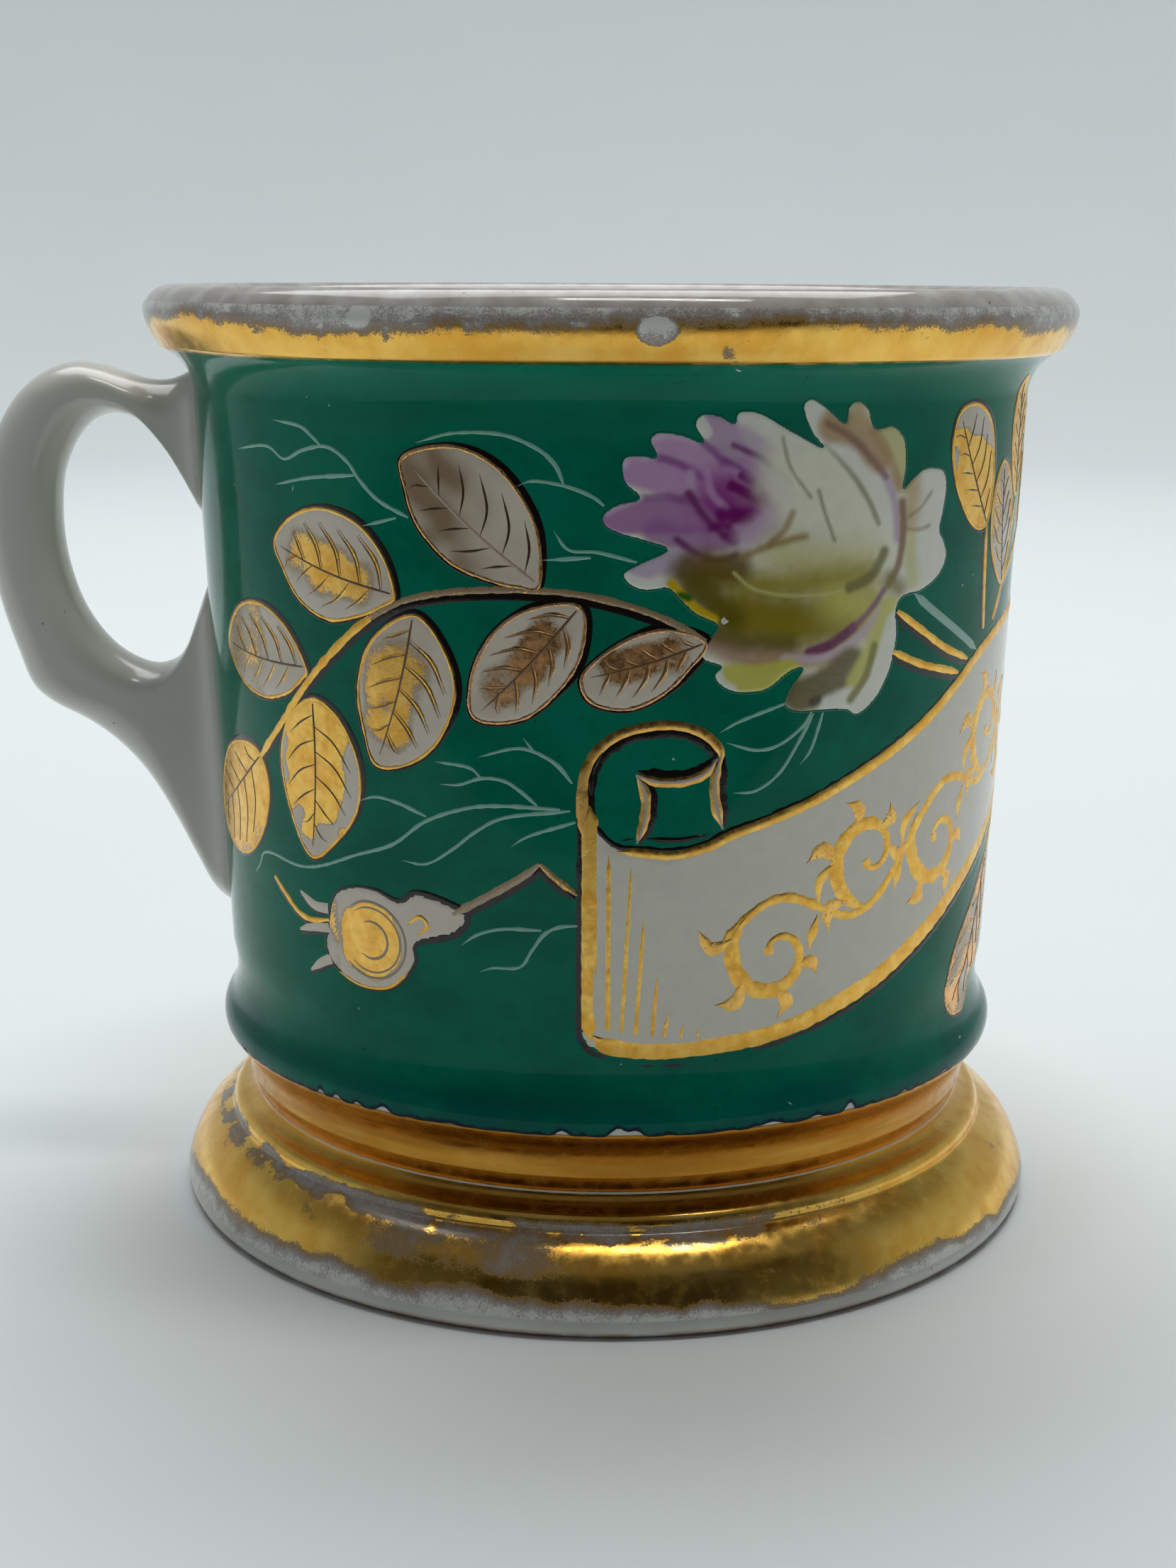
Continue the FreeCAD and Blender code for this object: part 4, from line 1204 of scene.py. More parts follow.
def bud_painter(centre):
    """Paint and gold of a bud: gilt about its heart and in its throat."""
    def painter(flat):
        gap = np.hypot(*(flat - np.array(centre) - (0.2, 0.1)).T)
        blot = np.array([noise.noise(Vector((s * 0.5, z * 0.5, 8.0))) for s, z in flat])
        gilt = 0.88 * (1 - smooth_step(3.5, 4.4, gap + 0.6 * blot))
        throat = smooth_step(-3.0, -4.6, flat[:, 0] - centre[0])
        gilt = gilt + throat * (0.4 + 0.4 * blot - gilt)
        return LEAF_WHITE, np.clip(gilt, 0, 1), 0.1
    return painter


def paint_bud(layer, centre, stalk):
    """A closed bud seen from the side: gold heart with crescents, calyx, horns and tendril."""
    def moved(points):
        return [(centre[0] + BUD_SCALE * s, centre[1] + BUD_SCALE * z) for s, z in points]
    for horn in BUD_HORNS:
        layer.stroke(moved([(s + 0.1, z - 0.2) for s, z in horn]), 1.5, 0.03, BLACK, taper=(1, 0.4))
        layer.stroke(moved(horn), (1.5, 1.3, 0.9), 0.06, LEAF_WHITE, 0.2, taper=(1, 0.4))
    layer.stroke(moved([(s, z - 0.3) for s, z in TENDRIL]), 0.9, 0.03, BLACK, taper=(0.4, 0.5))
    layer.stroke(moved(TENDRIL), 0.75, 0.085, LEAF_ROSY, 0.8, taper=(0.5, 0.8), wobble=0.4)
    rim = curve_through(moved(BUD_EDGE), 0.4, closed=True)
    lee = (rim - rim.mean(0)) @ LEE_OF_BUD
    shade = 0.35 + 0.8 * smooth_step(-0.2, 1.0, lee)
    layer.stroke(rim, shade, 0.03, BLACK, closed=True, step=0.4)
    layer.patch(rim, bud_painter(centre), 0.05)
    layer.stroke(moved(BUD_KEEL), 0.45, 0.08, NO_PAINT, 0.75)
    for radius, first, last, width in BUD_CRESCENTS:
        ring = [(0.3 + radius * math.cos(a), 0.2 + radius * 0.93 * math.sin(a))
                for a in np.linspace(first, last, 14)]
        layer.stroke(moved(ring), width, 0.085, WORN_STEM, taper=(0.2, 0.2))
    layer.stroke(moved(BUD_CALYX), 0.8, 0.08, NO_PAINT, 0.7, wobble=0.4)
    paint_stem(layer, stalk, 1.0, 0.36)


# The buds, front and back: middle, and stalk.
BUDS = (
    ((-26.0, 37.0), ((-15.9, 41.2), (-11.8, 43.6), (-8.6, 45.6), (-6.9, 47.0))),
    ((-108.0, 36.0), ((-97.9, 40.2), (-93.0, 43.6), (-88.0, 44.6), (-82.0, 46.0))),
)
BUD_STALK_END = ((-6.9, 47.0), (-5.4, 45.6), (-3.2, 44.0))


def build_buds():
    """Both buds, and the bent end of the front one's stalk."""
    layer = Layer("gilt_rosebuds")
    for centre, stalk in BUDS:
        paint_bud(layer, centre, stalk)
    paint_stem(layer, BUD_STALK_END, 0.85, 0.5)
    finish(layer.build(), PAINTED, "leaf_gold", "rosebuds")


# ---- ribbon

# The ribbon's upper edge, its lower edge, and its far end.
RIBBON_TOP = ((-3.0, 53.6), (-1.4, 51.0), (0.6, 49.2), (3.0, 49.0), (6.0, 48.7), (9.4, 49.4),
              (11.6, 50.4), (15.0, 51.4), (20.0, 53.0), (25.0, 55.0), (30.0, 57.1), (35.0, 59.5),
              (40.0, 62.3), (45.0, 65.0), (51.0, 66.9), (58.0, 68.0), (66.0, 68.6), (74.0, 69.6),
              (84.0, 71.6), (94.0, 74.8), (104.0, 79.4), (112.0, 84.2))
RIBBON_FOOT = ((-3.1, 30.2), (-2.6, 28.8), (-1.0, 27.6), (2.0, 26.9), (6.0, 26.7), (10.0, 26.9),
               (15.0, 27.4), (20.0, 28.4), (25.0, 29.9), (30.0, 31.6), (35.0, 33.8), (40.0, 36.2),
               (45.0, 38.8), (51.0, 41.6), (58.0, 44.6), (66.0, 47.2), (74.0, 49.6), (84.0, 52.6),
               (94.0, 55.4), (104.0, 59.0), (114.0, 63.6), (124.0, 70.0))
RIBBON_TAIL = ((127.0, 75.0), (126.4, 81.0), (123.4, 86.6), (118.4, 88.6), (114.0, 86.6))
# Fine gold lines down the ribbon's left end: top, bottom, width.
PINSTRIPES = (
    ((-0.2, 48.0), (-0.2, 30.2), 0.80), ((2.0, 46.8), (1.2, 30.0), 0.62),
    ((3.3, 41.6), (2.6, 29.8), 0.62), ((4.7, 35.6), (4.3, 29.6), 0.60),
    ((5.9, 32.0), (5.5, 29.4), 0.56), ((7.4, 30.8), (7.2, 29.3), 0.50),
    ((9.0, 30.2), (8.9, 29.2), 0.44),
)
# The gold down the left end, a white glint in it, and the four strokes of the rolled end.
RIBBON_END = ((-2.05, 53.0), (-2.0, 45.0), (-2.0, 36.0), (-2.0, 29.0))
RIBBON_GLINT = ((-1.4, 30.6), (-1.5, 33.0), (-1.5, 37.0))
CURL_RING = (
    (-2.6, 49.6), (-2.7, 52.4), (-2.6, 55.4), (-1.6, 57.9), (0.4, 59.7), (3.2, 60.6), (6.2, 60.7),
    (8.8, 59.8), (10.4, 58.2), (10.6, 56.8),
)
CURL_POST = ((10.5, 57.6), (10.0, 55.2), (10.2, 52.8), (10.9, 50.4))
CURL_SHELF = ((2.3, 56.0), (4.4, 55.3), (7.0, 55.3), (9.0, 56.0), (10.2, 57.4))
CURL_JAMB = ((2.4, 56.0), (3.3, 54.0), (3.2, 51.4), (2.5, 49.2))
# Dark touches about the rolled end: path, width, lift, taper.
CURL_SHADOWS = (
    (((-1.9, 54.0), (-1.9, 56.2), (-0.8, 58.4)), 0.8, 0.06, (0.3, 0.2)),
    (((1.0, 49.5), (2.2, 49.7)), 0.8, 0.1, (0.0, 0.0)),
    (((3.4, 49.7), (6.4, 49.5), (9.6, 49.9)), (0.7, 0.6, 0.4), 0.1, (0.0, 0.0)),
)


def shifted(points, distance):
    """The same path moved to its left by a distance."""
    path = curve_through(points, 0.5)
    return path + leftward(path) * distance


# A volute's size, the angle at which its spiral would close, the angle at which it ends, and
# its leaflets: where along the spiral, and reach as a share of the size.
VOLUTE_SIZE = 5.3
VOLUTE_CLOSE = 8.2
VOLUTE_END = 6.4
VOLUTE_LEAFLETS = ((0.5, 0.75), (1.5, 0.7), (2.5, 0.6), (3.5, 0.5))


def paint_volute(layer, centre, turn, hand, gilt):
    """A leafy volute: a tapering spiral with drop-shaped leaflets. hand is 1 or -1."""
    def at(angle, share):
        a, radius = turn + hand * angle, VOLUTE_SIZE * share
        return (centre[0] + radius * math.cos(a), centre[1] + radius * math.sin(a))
    spiral = [at(a, 1 - a / VOLUTE_CLOSE) for a in np.linspace(0, VOLUTE_END, 26)]
    layer.stroke(spiral, (1.0, 2.8, 2.3, 1.6, 1.0), 0.09, NO_PAINT, gilt,
                 taper=(0.2, 0.9), wobble=0.3)
    eye = [at(VOLUTE_END, 0.22), at(7.2, 0.14)]
    layer.stroke(eye, 1.7, 0.1, NO_PAINT, gilt, taper=(1, 0.8))
    for a, reach in VOLUTE_LEAFLETS:
        root = 1 - a / VOLUTE_CLOSE
        leaflet = [at(a, root), at(a + 0.25, root + reach * 0.5), at(a + 0.05, root + reach)]
        layer.stroke(leaflet, (0.7, 2.6, 0.4), 0.09, NO_PAINT, gilt * 0.95, 0.2,
                     taper=(0.6, 0.1), wobble=0.4)


def ribbon_middle(arc):
    """Height of the ribbon's middle line."""
    top = np.interp(arc, *np.array(RIBBON_TOP).T)
    foot = np.interp(arc, *np.array(RIBBON_FOOT).T)
    return (top + foot) / 2


def paint_scrollwork(layer):
    """Gilt foliage along the ribbon: an undulating stem with a volute in each hollow of it."""
    first, last, half_wave = 11.0, 112.0, 11.0
    stem = [(s, ribbon_middle(s) + 3.0 * math.sin((s - first) * math.pi / half_wave))
            for s in np.arange(first, last, 1.0)]
    layer.stroke(stem, 1.5, 0.08, NO_PAINT, 0.85, taper=(0.1, 0.1), wobble=0.3)
    hand = 1
    for s in np.arange(first + half_wave / 2, last - 2.0, half_wave):
        slope = math.atan2(ribbon_middle(s + 1) - ribbon_middle(s - 1), 2.0)
        turn = slope + math.pi + hand * (0.4 - math.pi / 2)
        centre = (s + 0.5, ribbon_middle(s) - hand * 2.6)
        paint_volute(layer, centre, turn, hand, 0.62 + 0.3 * rng.random())
        for side in (-1, 1):
            tip = (s + 6.0 + 1.6 * side, ribbon_middle(s + 6) + side * 4.6)
            root = (s + 5.2, ribbon_middle(s + 5.2) + 0.6 * side)
            bend = (s + 4.9 + 0.4 * side, ribbon_middle(s + 5) + side * 3.0)
            layer.stroke([root, bend, tip], (0.6, 1.9, 0.3), 0.085, NO_PAINT, 0.8, taper=(0.5, 0.1))
        hand = -hand


def build_ribbon():
    """The white ribbon with gold borders, its curled end and the foliage on it."""
    layer = Layer("gilt_edged_ribbon")
    top, foot = curve_through(RIBBON_TOP, 0.6), curve_through(RIBBON_FOOT, 0.6)
    tail = curve_through((RIBBON_FOOT[-1],) + RIBBON_TAIL, 0.6)
    tail_edge = curve_through(RIBBON_TAIL, 0.6)
    left = resampled([RIBBON_TOP[0], RIBBON_FOOT[0]], 0.6)
    edge = np.concatenate([left[1:-1], foot, tail[1:], top[::-1]])
    shadow = edge + np.array((0.0, -0.25))
    layer.stroke(shadow, 0.8, 0.03, BLACK, closed=True, step=0.6, wobble=0.8)
    layer.patch(edge, plain(RIBBON_WHITE), 0.05, 0.8)
    for path, width, gilt, wobble in (
        (shifted(RIBBON_TOP[2:], -0.75), (1.2, 1.5, 1.6, 1.9, 2.3, 2.4), 0.86, 0.15),
        (shifted(RIBBON_FOOT[1:], 1.2), (2.4, 2.5, 2.6, 2.4, 2.3), 0.95, 0.15),
        (tail_edge, 2.2, 0.85, 0.0),
        (RIBBON_END, (1.9, 2.1, 2.1, 1.9), 0.92, 0.1),
    ):
        layer.stroke(path, width, 0.09, NO_PAINT, gilt, wobble=wobble)
    layer.stroke(RIBBON_GLINT, 0.5, 0.1, RIBBON_WHITE)
    for start, end, width in PINSTRIPES:
        layer.stroke((start, end), (width * 0.75, width, width), 0.085, NO_PAINT, 0.72,
                     taper=(0.15, 1.0), wobble=0.4)
    paint_scrollwork(layer)
    for path, aside in ((CURL_RING, -0.5), (CURL_POST, 0.45), (CURL_SHELF, 0.4), (CURL_JAMB, 0.4)):
        layer.stroke(shifted(path, aside), 1.9, 0.03, BLACK, step=0.5, wobble=0.4)
    for path, width, lift, taper in CURL_SHADOWS:
        layer.stroke(path, width, lift, BLACK, taper=taper)
    layer.stroke(CURL_RING, (1.5, 1.3, 1.2, 1.2), 0.08, NO_PAINT, 0.85, 0.25, wobble=0.15)
    for path in (CURL_POST, CURL_JAMB, CURL_SHELF):
        layer.stroke(path, 1.25, 0.09, NO_PAINT, 0.78, 0.3, wobble=0.25)
        layer.stroke(path, 0.55, 0.11, WORN_WHITE, 0.2, taper=(0.4, 0.4), wobble=0.4)
    finish(layer.build(), PAINTED, "ribbon_white", "name_ribbon")


# ---- rose

ROSE_EDGE = (
    (-1.0, 80.6), (0.3, 81.6), (2.3, 82.2), (1.0, 83.6), (0.7, 85.2), (1.1, 86.0), (2.6, 86.1),
    (3.8, 86.0), (3.2, 87.4), (3.9, 88.2), (6.0, 88.0), (8.0, 87.3), (7.2, 88.8), (7.8, 89.8),
    (9.4, 89.7), (10.8, 89.0), (11.2, 90.0), (13.2, 89.9), (16.2, 88.3), (19.6, 86.6), (18.4, 88.0),
    (17.4, 90.3), (18.2, 91.1), (19.8, 90.3), (21.9, 88.8), (22.2, 90.2), (23.2, 90.8),
    (24.5, 90.0), (25.4, 88.2), (27.6, 88.3), (29.2, 86.9), (29.6, 84.4), (29.4, 82.4),
    (30.6, 83.2), (32.4, 84.1), (35.0, 83.8), (35.8, 82.3), (35.6, 80.0), (35.2, 78.0),
    (36.2, 76.5), (36.6, 75.0), (35.4, 73.3), (32.8, 72.1), (30.4, 71.8), (29.5, 70.6),
    (29.8, 68.0), (29.3, 65.2), (28.0, 62.6), (26.2, 61.0), (24.9, 60.6), (23.6, 61.2),
    (20.4, 61.4), (18.0, 61.5), (16.8, 62.3), (17.4, 63.9), (18.6, 65.6), (17.2, 65.4),
    (15.0, 63.9), (12.6, 63.6), (10.6, 64.2), (9.6, 65.4), (10.2, 66.3), (8.6, 66.9), (8.1, 67.8),
    (9.4, 69.4), (9.7, 70.3), (7.6, 71.4), (6.0, 72.9), (5.0, 73.8), (3.0, 73.6), (1.5, 74.2),
    (0.9, 75.2), (2.5, 76.2), (4.9, 77.4), (3.0, 78.2), (0.6, 78.9), (-0.7, 79.6),
)
# The rose's colours, as red, green and blue from 0 to 255.
CREAM, SNOW, LILAC, PINK = (243, 240, 218), (238, 238, 226), (200, 148, 200), (226, 204, 226)
PURPLE, WINE, PLUM, MAUVE = (170, 100, 172), (120, 14, 106), (112, 24, 108), (146, 82, 154)
OLIVE, MOSS, STRAW, TAN = (168, 152, 48), (128, 112, 14), (212, 207, 128), (188, 152, 104)
GREY_LINE, FAWN_LINE, PALE_LILAC = (150, 146, 118), (150, 130, 84), (200, 150, 200)
ROSE_CHIP = (
    (10.0, 71.0), (10.5, 71.3), (10.8, 70.9), (11.2, 70.7), (10.8, 70.3), (10.3, 70.1), (9.9, 70.5),
)
# Touches of the brush, in order: colour, width, softness, strength, path.
ROSE_TOUCHES = (
    (LILAC, 3.4, 0.5, 0.9, ((1.6, 85.0), (6.0, 83.8), (9.5, 82.5))),
    (LILAC, 3.2, 0.5, 0.85, ((4.4, 87.4), (8.0, 85.4), (10.0, 84.0))),
    ((186, 150, 192), 3.0, 0.5, 0.8, ((9.2, 89.0), (10.6, 86.6), (12.0, 84.4))),
    ((198, 168, 202), 3.0, 1.2, 0.7, ((12.0, 88.0), (14.0, 85.4), (15.0, 82.6))),
    (SNOW, 2.6, 0.6, 0.9, ((12.2, 90.0), (16.4, 87.6), (20.4, 84.6))),
    (SNOW, 1.2, 0.3, 0.9, ((7.4, 89.6), (8.2, 88.2))),
    (PURPLE, 3.2, 0.4, 0.85, ((-0.6, 80.5), (3.0, 80.5), (8.6, 80.6))),
    ((160, 104, 166), 2.6, 0.8, 0.8, ((4.0, 79.0), (8.0, 78.2), (12.0, 79.4))),
    ((206, 186, 208), 2.2, 0.5, 0.95, ((2.4, 75.6), (5.4, 76.4), (7.2, 76.4))),
    (SNOW, 1.0, 0.4, 0.9, ((1.4, 74.8), (3.2, 74.2), (5.0, 74.2))),
    (MAUVE, 0.8, 0.4, 0.8, ((2.4, 82.2), (5.0, 82.3), (7.4, 81.8))),
    (MAUVE, 0.7, 0.4, 0.8, ((3.8, 86.0), (6.0, 85.3), (8.4, 83.8))),
    (MAUVE, 0.7, 0.4, 0.8, ((8.0, 87.3), (9.4, 86.0), (10.8, 84.4))),
    (PINK, 0.9, 0.5, 0.85, ((-0.8, 81.0), (0.8, 81.8), (2.2, 82.3))),
    (PINK, 0.9, 0.5, 0.85, ((0.8, 85.4), (1.6, 86.2), (3.4, 86.1))),
    (PINK, 0.9, 0.5, 0.85, ((3.4, 87.8), (5.0, 88.2), (7.4, 87.6))),
    ((168, 92, 164), 6.4, 3.0, 0.85, ((10.4, 81.8), (12.8, 81.8))),
    ((140, 38, 126), 2.6, 2.2, 0.9, ((9.6, 82.2), (11.6, 80.8), (13.4, 81.2))),
    ((206, 156, 204), 0.7, 0.5, 0.8, ((8.4, 84.6), (8.8, 82.8), (10.2, 81.2))),
    (PALE_LILAC, 0.6, 0.5, 0.75, ((10.2, 84.8), (12.0, 84.2), (13.8, 83.0))),
    (PALE_LILAC, 0.6, 0.5, 0.7, ((11.2, 79.4), (12.8, 79.6), (14.2, 80.8))),
    ((206, 176, 206), 0.9, 0.5, 0.8, ((6.9, 84.4), (7.0, 82.4), (8.6, 80.2), (9.8, 79.0))),
    (WINE, 1.0, 0.4, 0.95, ((10.8, 83.3), (12.2, 82.6), (13.4, 81.9))),
    (WINE, 0.7, 0.3, 0.9, ((11.6, 84.2), (13.4, 83.0), (14.2, 82.0))),
    (WINE, 0.9, 0.5, 0.9, ((6.8, 82.6), (8.2, 80.6), (9.8, 79.0), (11.0, 78.2))),
    (WINE, 1.5, 0.8, 0.95, ((10.0, 80.6), (12.2, 80.4))),
    (WINE, 0.7, 0.4, 0.8, ((9.0, 79.4), (10.4, 79.6), (11.4, 78.2))),
    (PLUM, 0.55, 0.4, 0.8, ((10.8, 87.0), (13.4, 85.8), (15.0, 84.6), (16.5, 83.4))),
    ((132, 58, 132), 0.45, 0.4, 0.7, ((10.0, 85.8), (12.2, 84.4), (13.6, 83.2))),
    (PLUM, 0.7, 0.5, 0.85, ((5.8, 78.4), (7.4, 77.2), (9.4, 76.5), (11.4, 76.8))),
    ((214, 192, 208), 2.2, 1.4, 0.8, ((12.4, 78.4), (14.6, 79.8))),
    (CREAM, 7.5, 2.0, 0.9, ((17.0, 84.0), (20.0, 80.0), (22.0, 76.6))),
    (CREAM, 8.0, 2.0, 0.9, ((22.0, 85.0), (25.4, 80.0), (26.0, 75.6))),
    ((214, 208, 140), 4.0, 2.6, 0.8, ((16.0, 76.6), (20.0, 75.6), (25.0, 75.4))),
    (OLIVE, 2.6, 1.6, 0.9, ((10.0, 74.8), (14.0, 74.0), (19.0, 74.0), (25.0, 74.2))),
    ((176, 160, 50), 5.2, 2.6, 0.9, ((12.0, 71.4), (18.0, 70.4), (25.0, 71.0))),
    (MOSS, 4.4, 2.4, 0.85, ((8.0, 74.0), (11.0, 71.4), (17.0, 70.4))),
    ((148, 132, 26), 3.4, 2.4, 0.8, ((12.0, 70.4), (18.0, 69.2), (23.0, 69.6))),
    ((212, 207, 100), 3.0, 2.4, 0.9, ((22.4, 71.8), (25.4, 71.2))),
    ((112, 88, 30), 3.0, 1.2, 0.9, ((6.8, 75.6), (9.4, 75.8), (11.4, 75.6))),
    ((104, 92, 8), 2.6, 1.2, 0.85, ((7.6, 74.0), (9.4, 72.2), (11.2, 70.8))),
    (STRAW, 0.28, 0.25, 0.9,
     ((11.2, 75.2), (13.0, 73.7), (16.0, 72.9), (20.0, 72.7), (23.0, 73.0))),
    ((118, 110, 50), 1.1, 0.5, 0.85, ((23.4, 73.2), (25.4, 73.8), (26.6, 75.0), (27.4, 76.4))),
    (GREY_LINE, 0.30, 0.3, 0.8, ((15.5, 87.6), (16.4, 84.8), (18.6, 82.0))),
    (GREY_LINE, 0.34, 0.3, 0.85, ((19.4, 82.6), (20.2, 80.4), (21.4, 77.8))),
    (GREY_LINE, 0.60, 0.4, 0.85, ((20.0, 86.9), (23.0, 84.0), (25.2, 81.2), (26.4, 79.2))),
    ((158, 128, 66), 0.7, 0.6, 0.8, ((12.0, 76.6), (14.6, 77.6), (18.2, 78.4))),
    ((160, 126, 74), 0.7, 0.5, 0.7, ((14.6, 77.8), (16.0, 79.0), (16.8, 80.6))),
    (SNOW, 1.8, 0.5, 0.95, ((18.2, 90.6), (19.6, 88.2), (22.4, 86.0), (26.2, 82.6), (27.8, 79.4))),
    ((196, 164, 198), 1.0, 0.7, 0.8, ((23.0, 87.0), (26.2, 84.6), (28.4, 81.0), (29.0, 77.6))),
    (TAN, 3.2, 0.6, 0.85, ((20.6, 88.6), (23.4, 88.0), (26.0, 85.6))),
    ((204, 180, 130), 1.6, 0.8, 0.8, ((23.2, 90.4), (23.8, 89.0))),
    ((208, 203, 134), 2.4, 0.5, 0.9, ((27.0, 87.6), (28.8, 85.4), (29.4, 83.2))),
    (TAN, 1.2, 0.6, 0.8, ((25.4, 87.8), (27.2, 85.4), (28.8, 82.6))),
    ((150, 106, 88), 0.7, 0.5, 0.8, ((20.0, 88.8), (23.0, 87.2), (27.0, 83.6))),
    (SNOW, 5.0, 0.8, 0.95, ((33.6, 82.0), (33.6, 79.4))),
    (SNOW, 5.6, 0.6, 0.95, ((34.0, 75.6), (32.0, 74.4))),
    ((200, 166, 110), 2.4, 1.4, 0.75, ((30.6, 82.6), (30.4, 79.0))),
    (FAWN_LINE, 0.35, 0.3, 0.7, ((30.4, 79.6), (32.0, 80.4), (33.4, 81.8))),
    (FAWN_LINE, 0.35, 0.3, 0.7, ((30.2, 78.4), (31.8, 78.2), (33.4, 78.5))),
    ((216, 212, 140), 1.8, 1.2, 0.8, ((30.6, 77.0), (31.4, 73.4))),
    ((146, 106, 74), 0.9, 0.5, 0.9, ((29.3, 81.0), (29.7, 78.0), (29.3, 75.0), (28.2, 73.2))),
    ((138, 128, 44), 1.8, 1.0, 0.8, ((28.2, 73.6), (29.6, 72.6))),
    ((186, 150, 124), 2.2, 0.8, 0.9, ((9.4, 68.6), (13.0, 67.0), (17.4, 66.6))),
    ((112, 96, 36), 1.8, 0.9, 0.8, ((9.6, 69.4), (12.6, 68.6), (17.0, 68.2))),
    (TAN, 1.6, 0.6, 0.8, ((13.0, 66.0), (18.6, 66.4), (23.0, 66.6))),
    ((118, 44, 92), 1.1, 0.4, 0.95, ((19.2, 67.2), (21.6, 67.8), (24.0, 69.2))),
    ((140, 82, 120), 0.7, 0.4, 0.85, ((24.0, 69.2), (26.0, 70.8), (27.6, 72.6))),
    ((214, 190, 204), 0.8, 0.5, 0.9, ((16.6, 66.8), (21.0, 66.6), (24.6, 68.2), (27.4, 70.8))),
    ((212, 206, 92), 2.8, 0.5, 0.95, ((11.4, 65.2), (14.0, 64.9), (17.0, 65.4))),
    (SNOW, 0.9, 0.4, 0.85, ((9.9, 65.8), (10.4, 64.7), (11.4, 64.1))),
    ((116, 104, 62), 3.6, 0.7, 0.95, ((18.4, 63.0), (21.0, 63.8), (24.0, 65.6))),
    ((214, 209, 112), 2.0, 0.6, 0.95, ((24.6, 64.0), (26.6, 67.0), (28.4, 71.0))),
    (SNOW, 2.0, 0.5, 0.95, ((21.6, 61.8), (24.0, 62.4), (25.4, 61.2), (27.4, 64.0), (29.2, 69.4))),
    ((142, 136, 66), 0.9, 0.4, 0.9, ((24.2, 62.2), (26.0, 64.4), (26.8, 67.2))),
    ((72, 66, 34), 0.8, 0.4, 0.9, ((19.8, 62.3), (20.4, 62.5))),
    ((216, 180, 12), 1.0, 0.3, 1.0, ((5.4, 74.2), (6.8, 72.6), (8.2, 71.5), (9.4, 70.8))),
    ((58, 108, 24), 0.7, 0.3, 1.0, ((6.2, 73.2), (7.0, 72.9))),
)


def rose_painter(flat):
    """Lay the touches over each other like a brush, each with its own soft edge."""
    colour = np.tile(np.array(srgb(*CREAM)), (len(flat), 1))
    drift = np.array([noise.noise(Vector((s * 1.1, z * 1.1, 2.0))) for s, z in flat])
    for paint, width, softness, strength, path in ROSE_TOUCHES:
        line = curve_through(path, 0.5)
        gap = distance_to(flat, line) - width / 2 + 0.16 * drift * softness
        blur = softness * (1.7 if width > 1.5 else 1.2)
        cover = strength * (1 - smooth_step(-blur / 2, blur / 2, gap))
        colour += cover[:, None] * (np.array(srgb(*paint)) - colour)
    return colour, 0.0, 0.0


def build_rose():
    """The rose, a dark line about it, and a small chip in its paint."""
    layer = Layer("painted_rose")
    edge = curve_through(ROSE_EDGE, 0.25, closed=True)
    layer.stroke(edge, 0.28, 0.025, DARK_GREEN, closed=True, step=0.4)
    layer.patch(edge, rose_painter, 0.05, 0.24)
    chip = curve_through(ROSE_CHIP, 0.12, closed=True)
    layer.patch(chip, plain(srgb(222, 222, 212)), 0.07, 0.2)
    finish(layer.build(), PAINTED, "rose_painting", "rose")


# ---------------------------------------------------------------- stage, lights and camera

def make_stage():
    """A pale table that sweeps up into a round backdrop."""
    radius, sweep, top = 1500.0, 500.0, 1500.0
    points = [(r, 0.0) for r in (0.0, 60.0, 150.0, 400.0, 700.0)]
    points += [
        (radius - sweep + sweep * math.sin(a), sweep - sweep * math.cos(a))
        for a in np.linspace(0, math.pi / 2, 24)
    ]
    points.append((radius, top))
    floor = turned("table", points, columns=96)
    floor.data.flip_normals()
    floor.data.materials.append(stage_material())


# Lights: name, place, target and size in metres, power in watts, colour.
LIGHTS = (
    ("overhead", (-0.05, 0.55, 1.05), (0.0, 0.27, 0.0), (1.2, 0.8), 10.4, (0.97, 0.99, 1.0)),
    ("ceiling", (0.10, -0.09, 0.95), (0.10, -0.09, 0.0), (0.4, 0.10), 2.3, (1.0, 0.98, 0.95)),
)
ROOM_COLOUR = (0.93, 0.97, 1.0, 1.0)
ROOM_STRENGTH = 0.14


def make_light(name, place, target, size, power, colour):
    """A soft rectangular light."""
    lamp = bpy.data.lights.new(name, "AREA")
    lamp.shape = "RECTANGLE"
    lamp.size, lamp.size_y = size
    lamp.energy = power
    lamp.color = colour
    obj = bpy.data.objects.new(name, lamp)
    bpy.context.scene.collection.objects.link(obj)
    obj.location = place
    aim = Vector(target) - Vector(place)
    obj.rotation_euler = aim.to_track_quat("-Z", "Y").to_euler()


def make_dark_card():
    """The dim side of the room, in front of the mug: a card that only mirrored light meets."""
    near, far, half, top, low = -170.0, -700.0, 500.0, 500.0, 2.0
    corners = [(-half, near, low), (half, near, low), (half, far, low), (-half, far, low),
               (half, far, top), (-half, far, top)]
    card = make_object("dark_card", corners, [(0, 1, 2, 3), (3, 2, 4, 5)])
    shader = Shader("card")
    shader.set(Base_Color=(0.02, 0.02, 0.02, 1.0), Roughness=1.0)
    card.data.materials.append(shader.material)
    card.visible_camera = False
    card.visible_shadow = False
    card.visible_diffuse = False


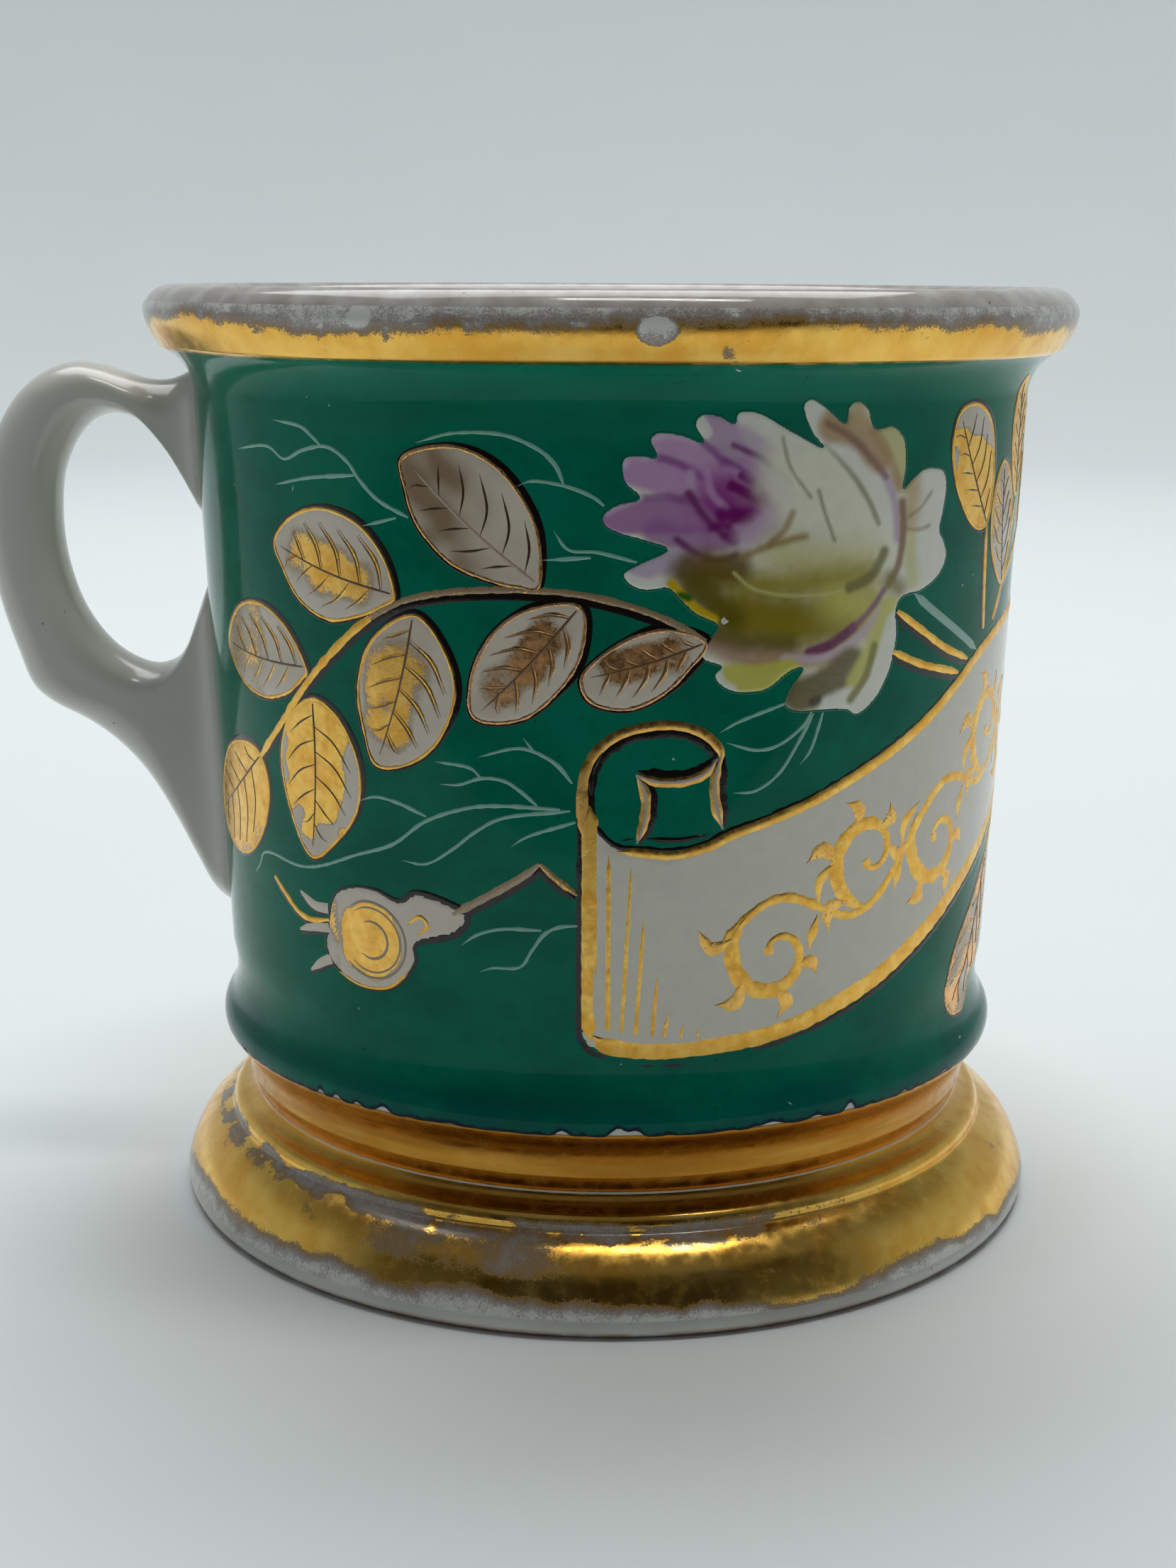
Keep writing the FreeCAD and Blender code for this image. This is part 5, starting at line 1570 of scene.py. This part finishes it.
def make_lights():
    """Soft light from above and behind, a narrow one over the mug, and a dim room."""
    for light in LIGHTS:
        make_light(*light)
    world = bpy.data.worlds.new("room")
    world.use_nodes = True
    colour, strength = world.node_tree.nodes["Background"].inputs[:2]
    colour.default_value = ROOM_COLOUR
    strength.default_value = ROOM_STRENGTH
    bpy.context.scene.world = world


# The camera: place in metres, tip downwards and roll in degrees, lens and sensor in millimetres.
CAMERA_PLACE = (-0.0022, -0.2515, 0.1025)
CAMERA_TIP = 12.86
CAMERA_ROLL = 0.26
LENS = 68.8
SENSOR_WIDTH = 36.0


def make_camera():
    """A close view from just above the lip, tipped down a little."""
    data = bpy.data.cameras.new("camera")
    data.sensor_fit = "HORIZONTAL"
    data.sensor_width = SENSOR_WIDTH
    data.lens = LENS
    data.clip_start = 0.01
    camera = bpy.data.objects.new("camera", data)
    bpy.context.scene.collection.objects.link(camera)
    tip, roll = math.radians(CAMERA_TIP), math.radians(CAMERA_ROLL)
    forward = Vector((0.0, math.cos(tip), -math.sin(tip)))
    across, up = Vector((1.0, 0.0, 0.0)), Vector((0.0, math.sin(tip), math.cos(tip)))
    right = across * math.cos(roll) + up * math.sin(roll)
    above = up * math.cos(roll) - across * math.sin(roll)
    turn = Matrix((right, above, -forward)).transposed().to_4x4()
    camera.matrix_world = Matrix.Translation(CAMERA_PLACE) @ turn
    bpy.context.scene.camera = camera


# ---------------------------------------------------------------- assembly

def build_bodies():
    """Cup, foot, seam and handle, the enamel, and the gold of rim and foot."""
    porcelain = porcelain_material()
    finish(make_cup(), porcelain, "porcelain", "cup_body")
    finish(make_foot(), porcelain, "porcelain", "foot")
    finish(make_foot_seam(), slip_material(), "slip", "foot_lute")
    handle_nodes = ("handle", "handle_lower_lute", "handle_upper_lute")
    finish(make_handle(), handle_material(), "porcelain", *handle_nodes)
    finish(make_green(), green_material(), "green_enamel", "green_ground")
    finish(make_rim_gold(), rim_gold_material(), "gold", "rim_gilding")
    finish(make_foot_gold(), foot_gold_material(), "gold", "foot_gilding")


bpy.context.scene.view_settings.view_transform = "Standard"
make_stage()
make_dark_card()
make_lights()
make_camera()
build_bodies()
PAINTED = painted_material()
build_leaves()
build_buds()
build_ribbon()
build_rose()
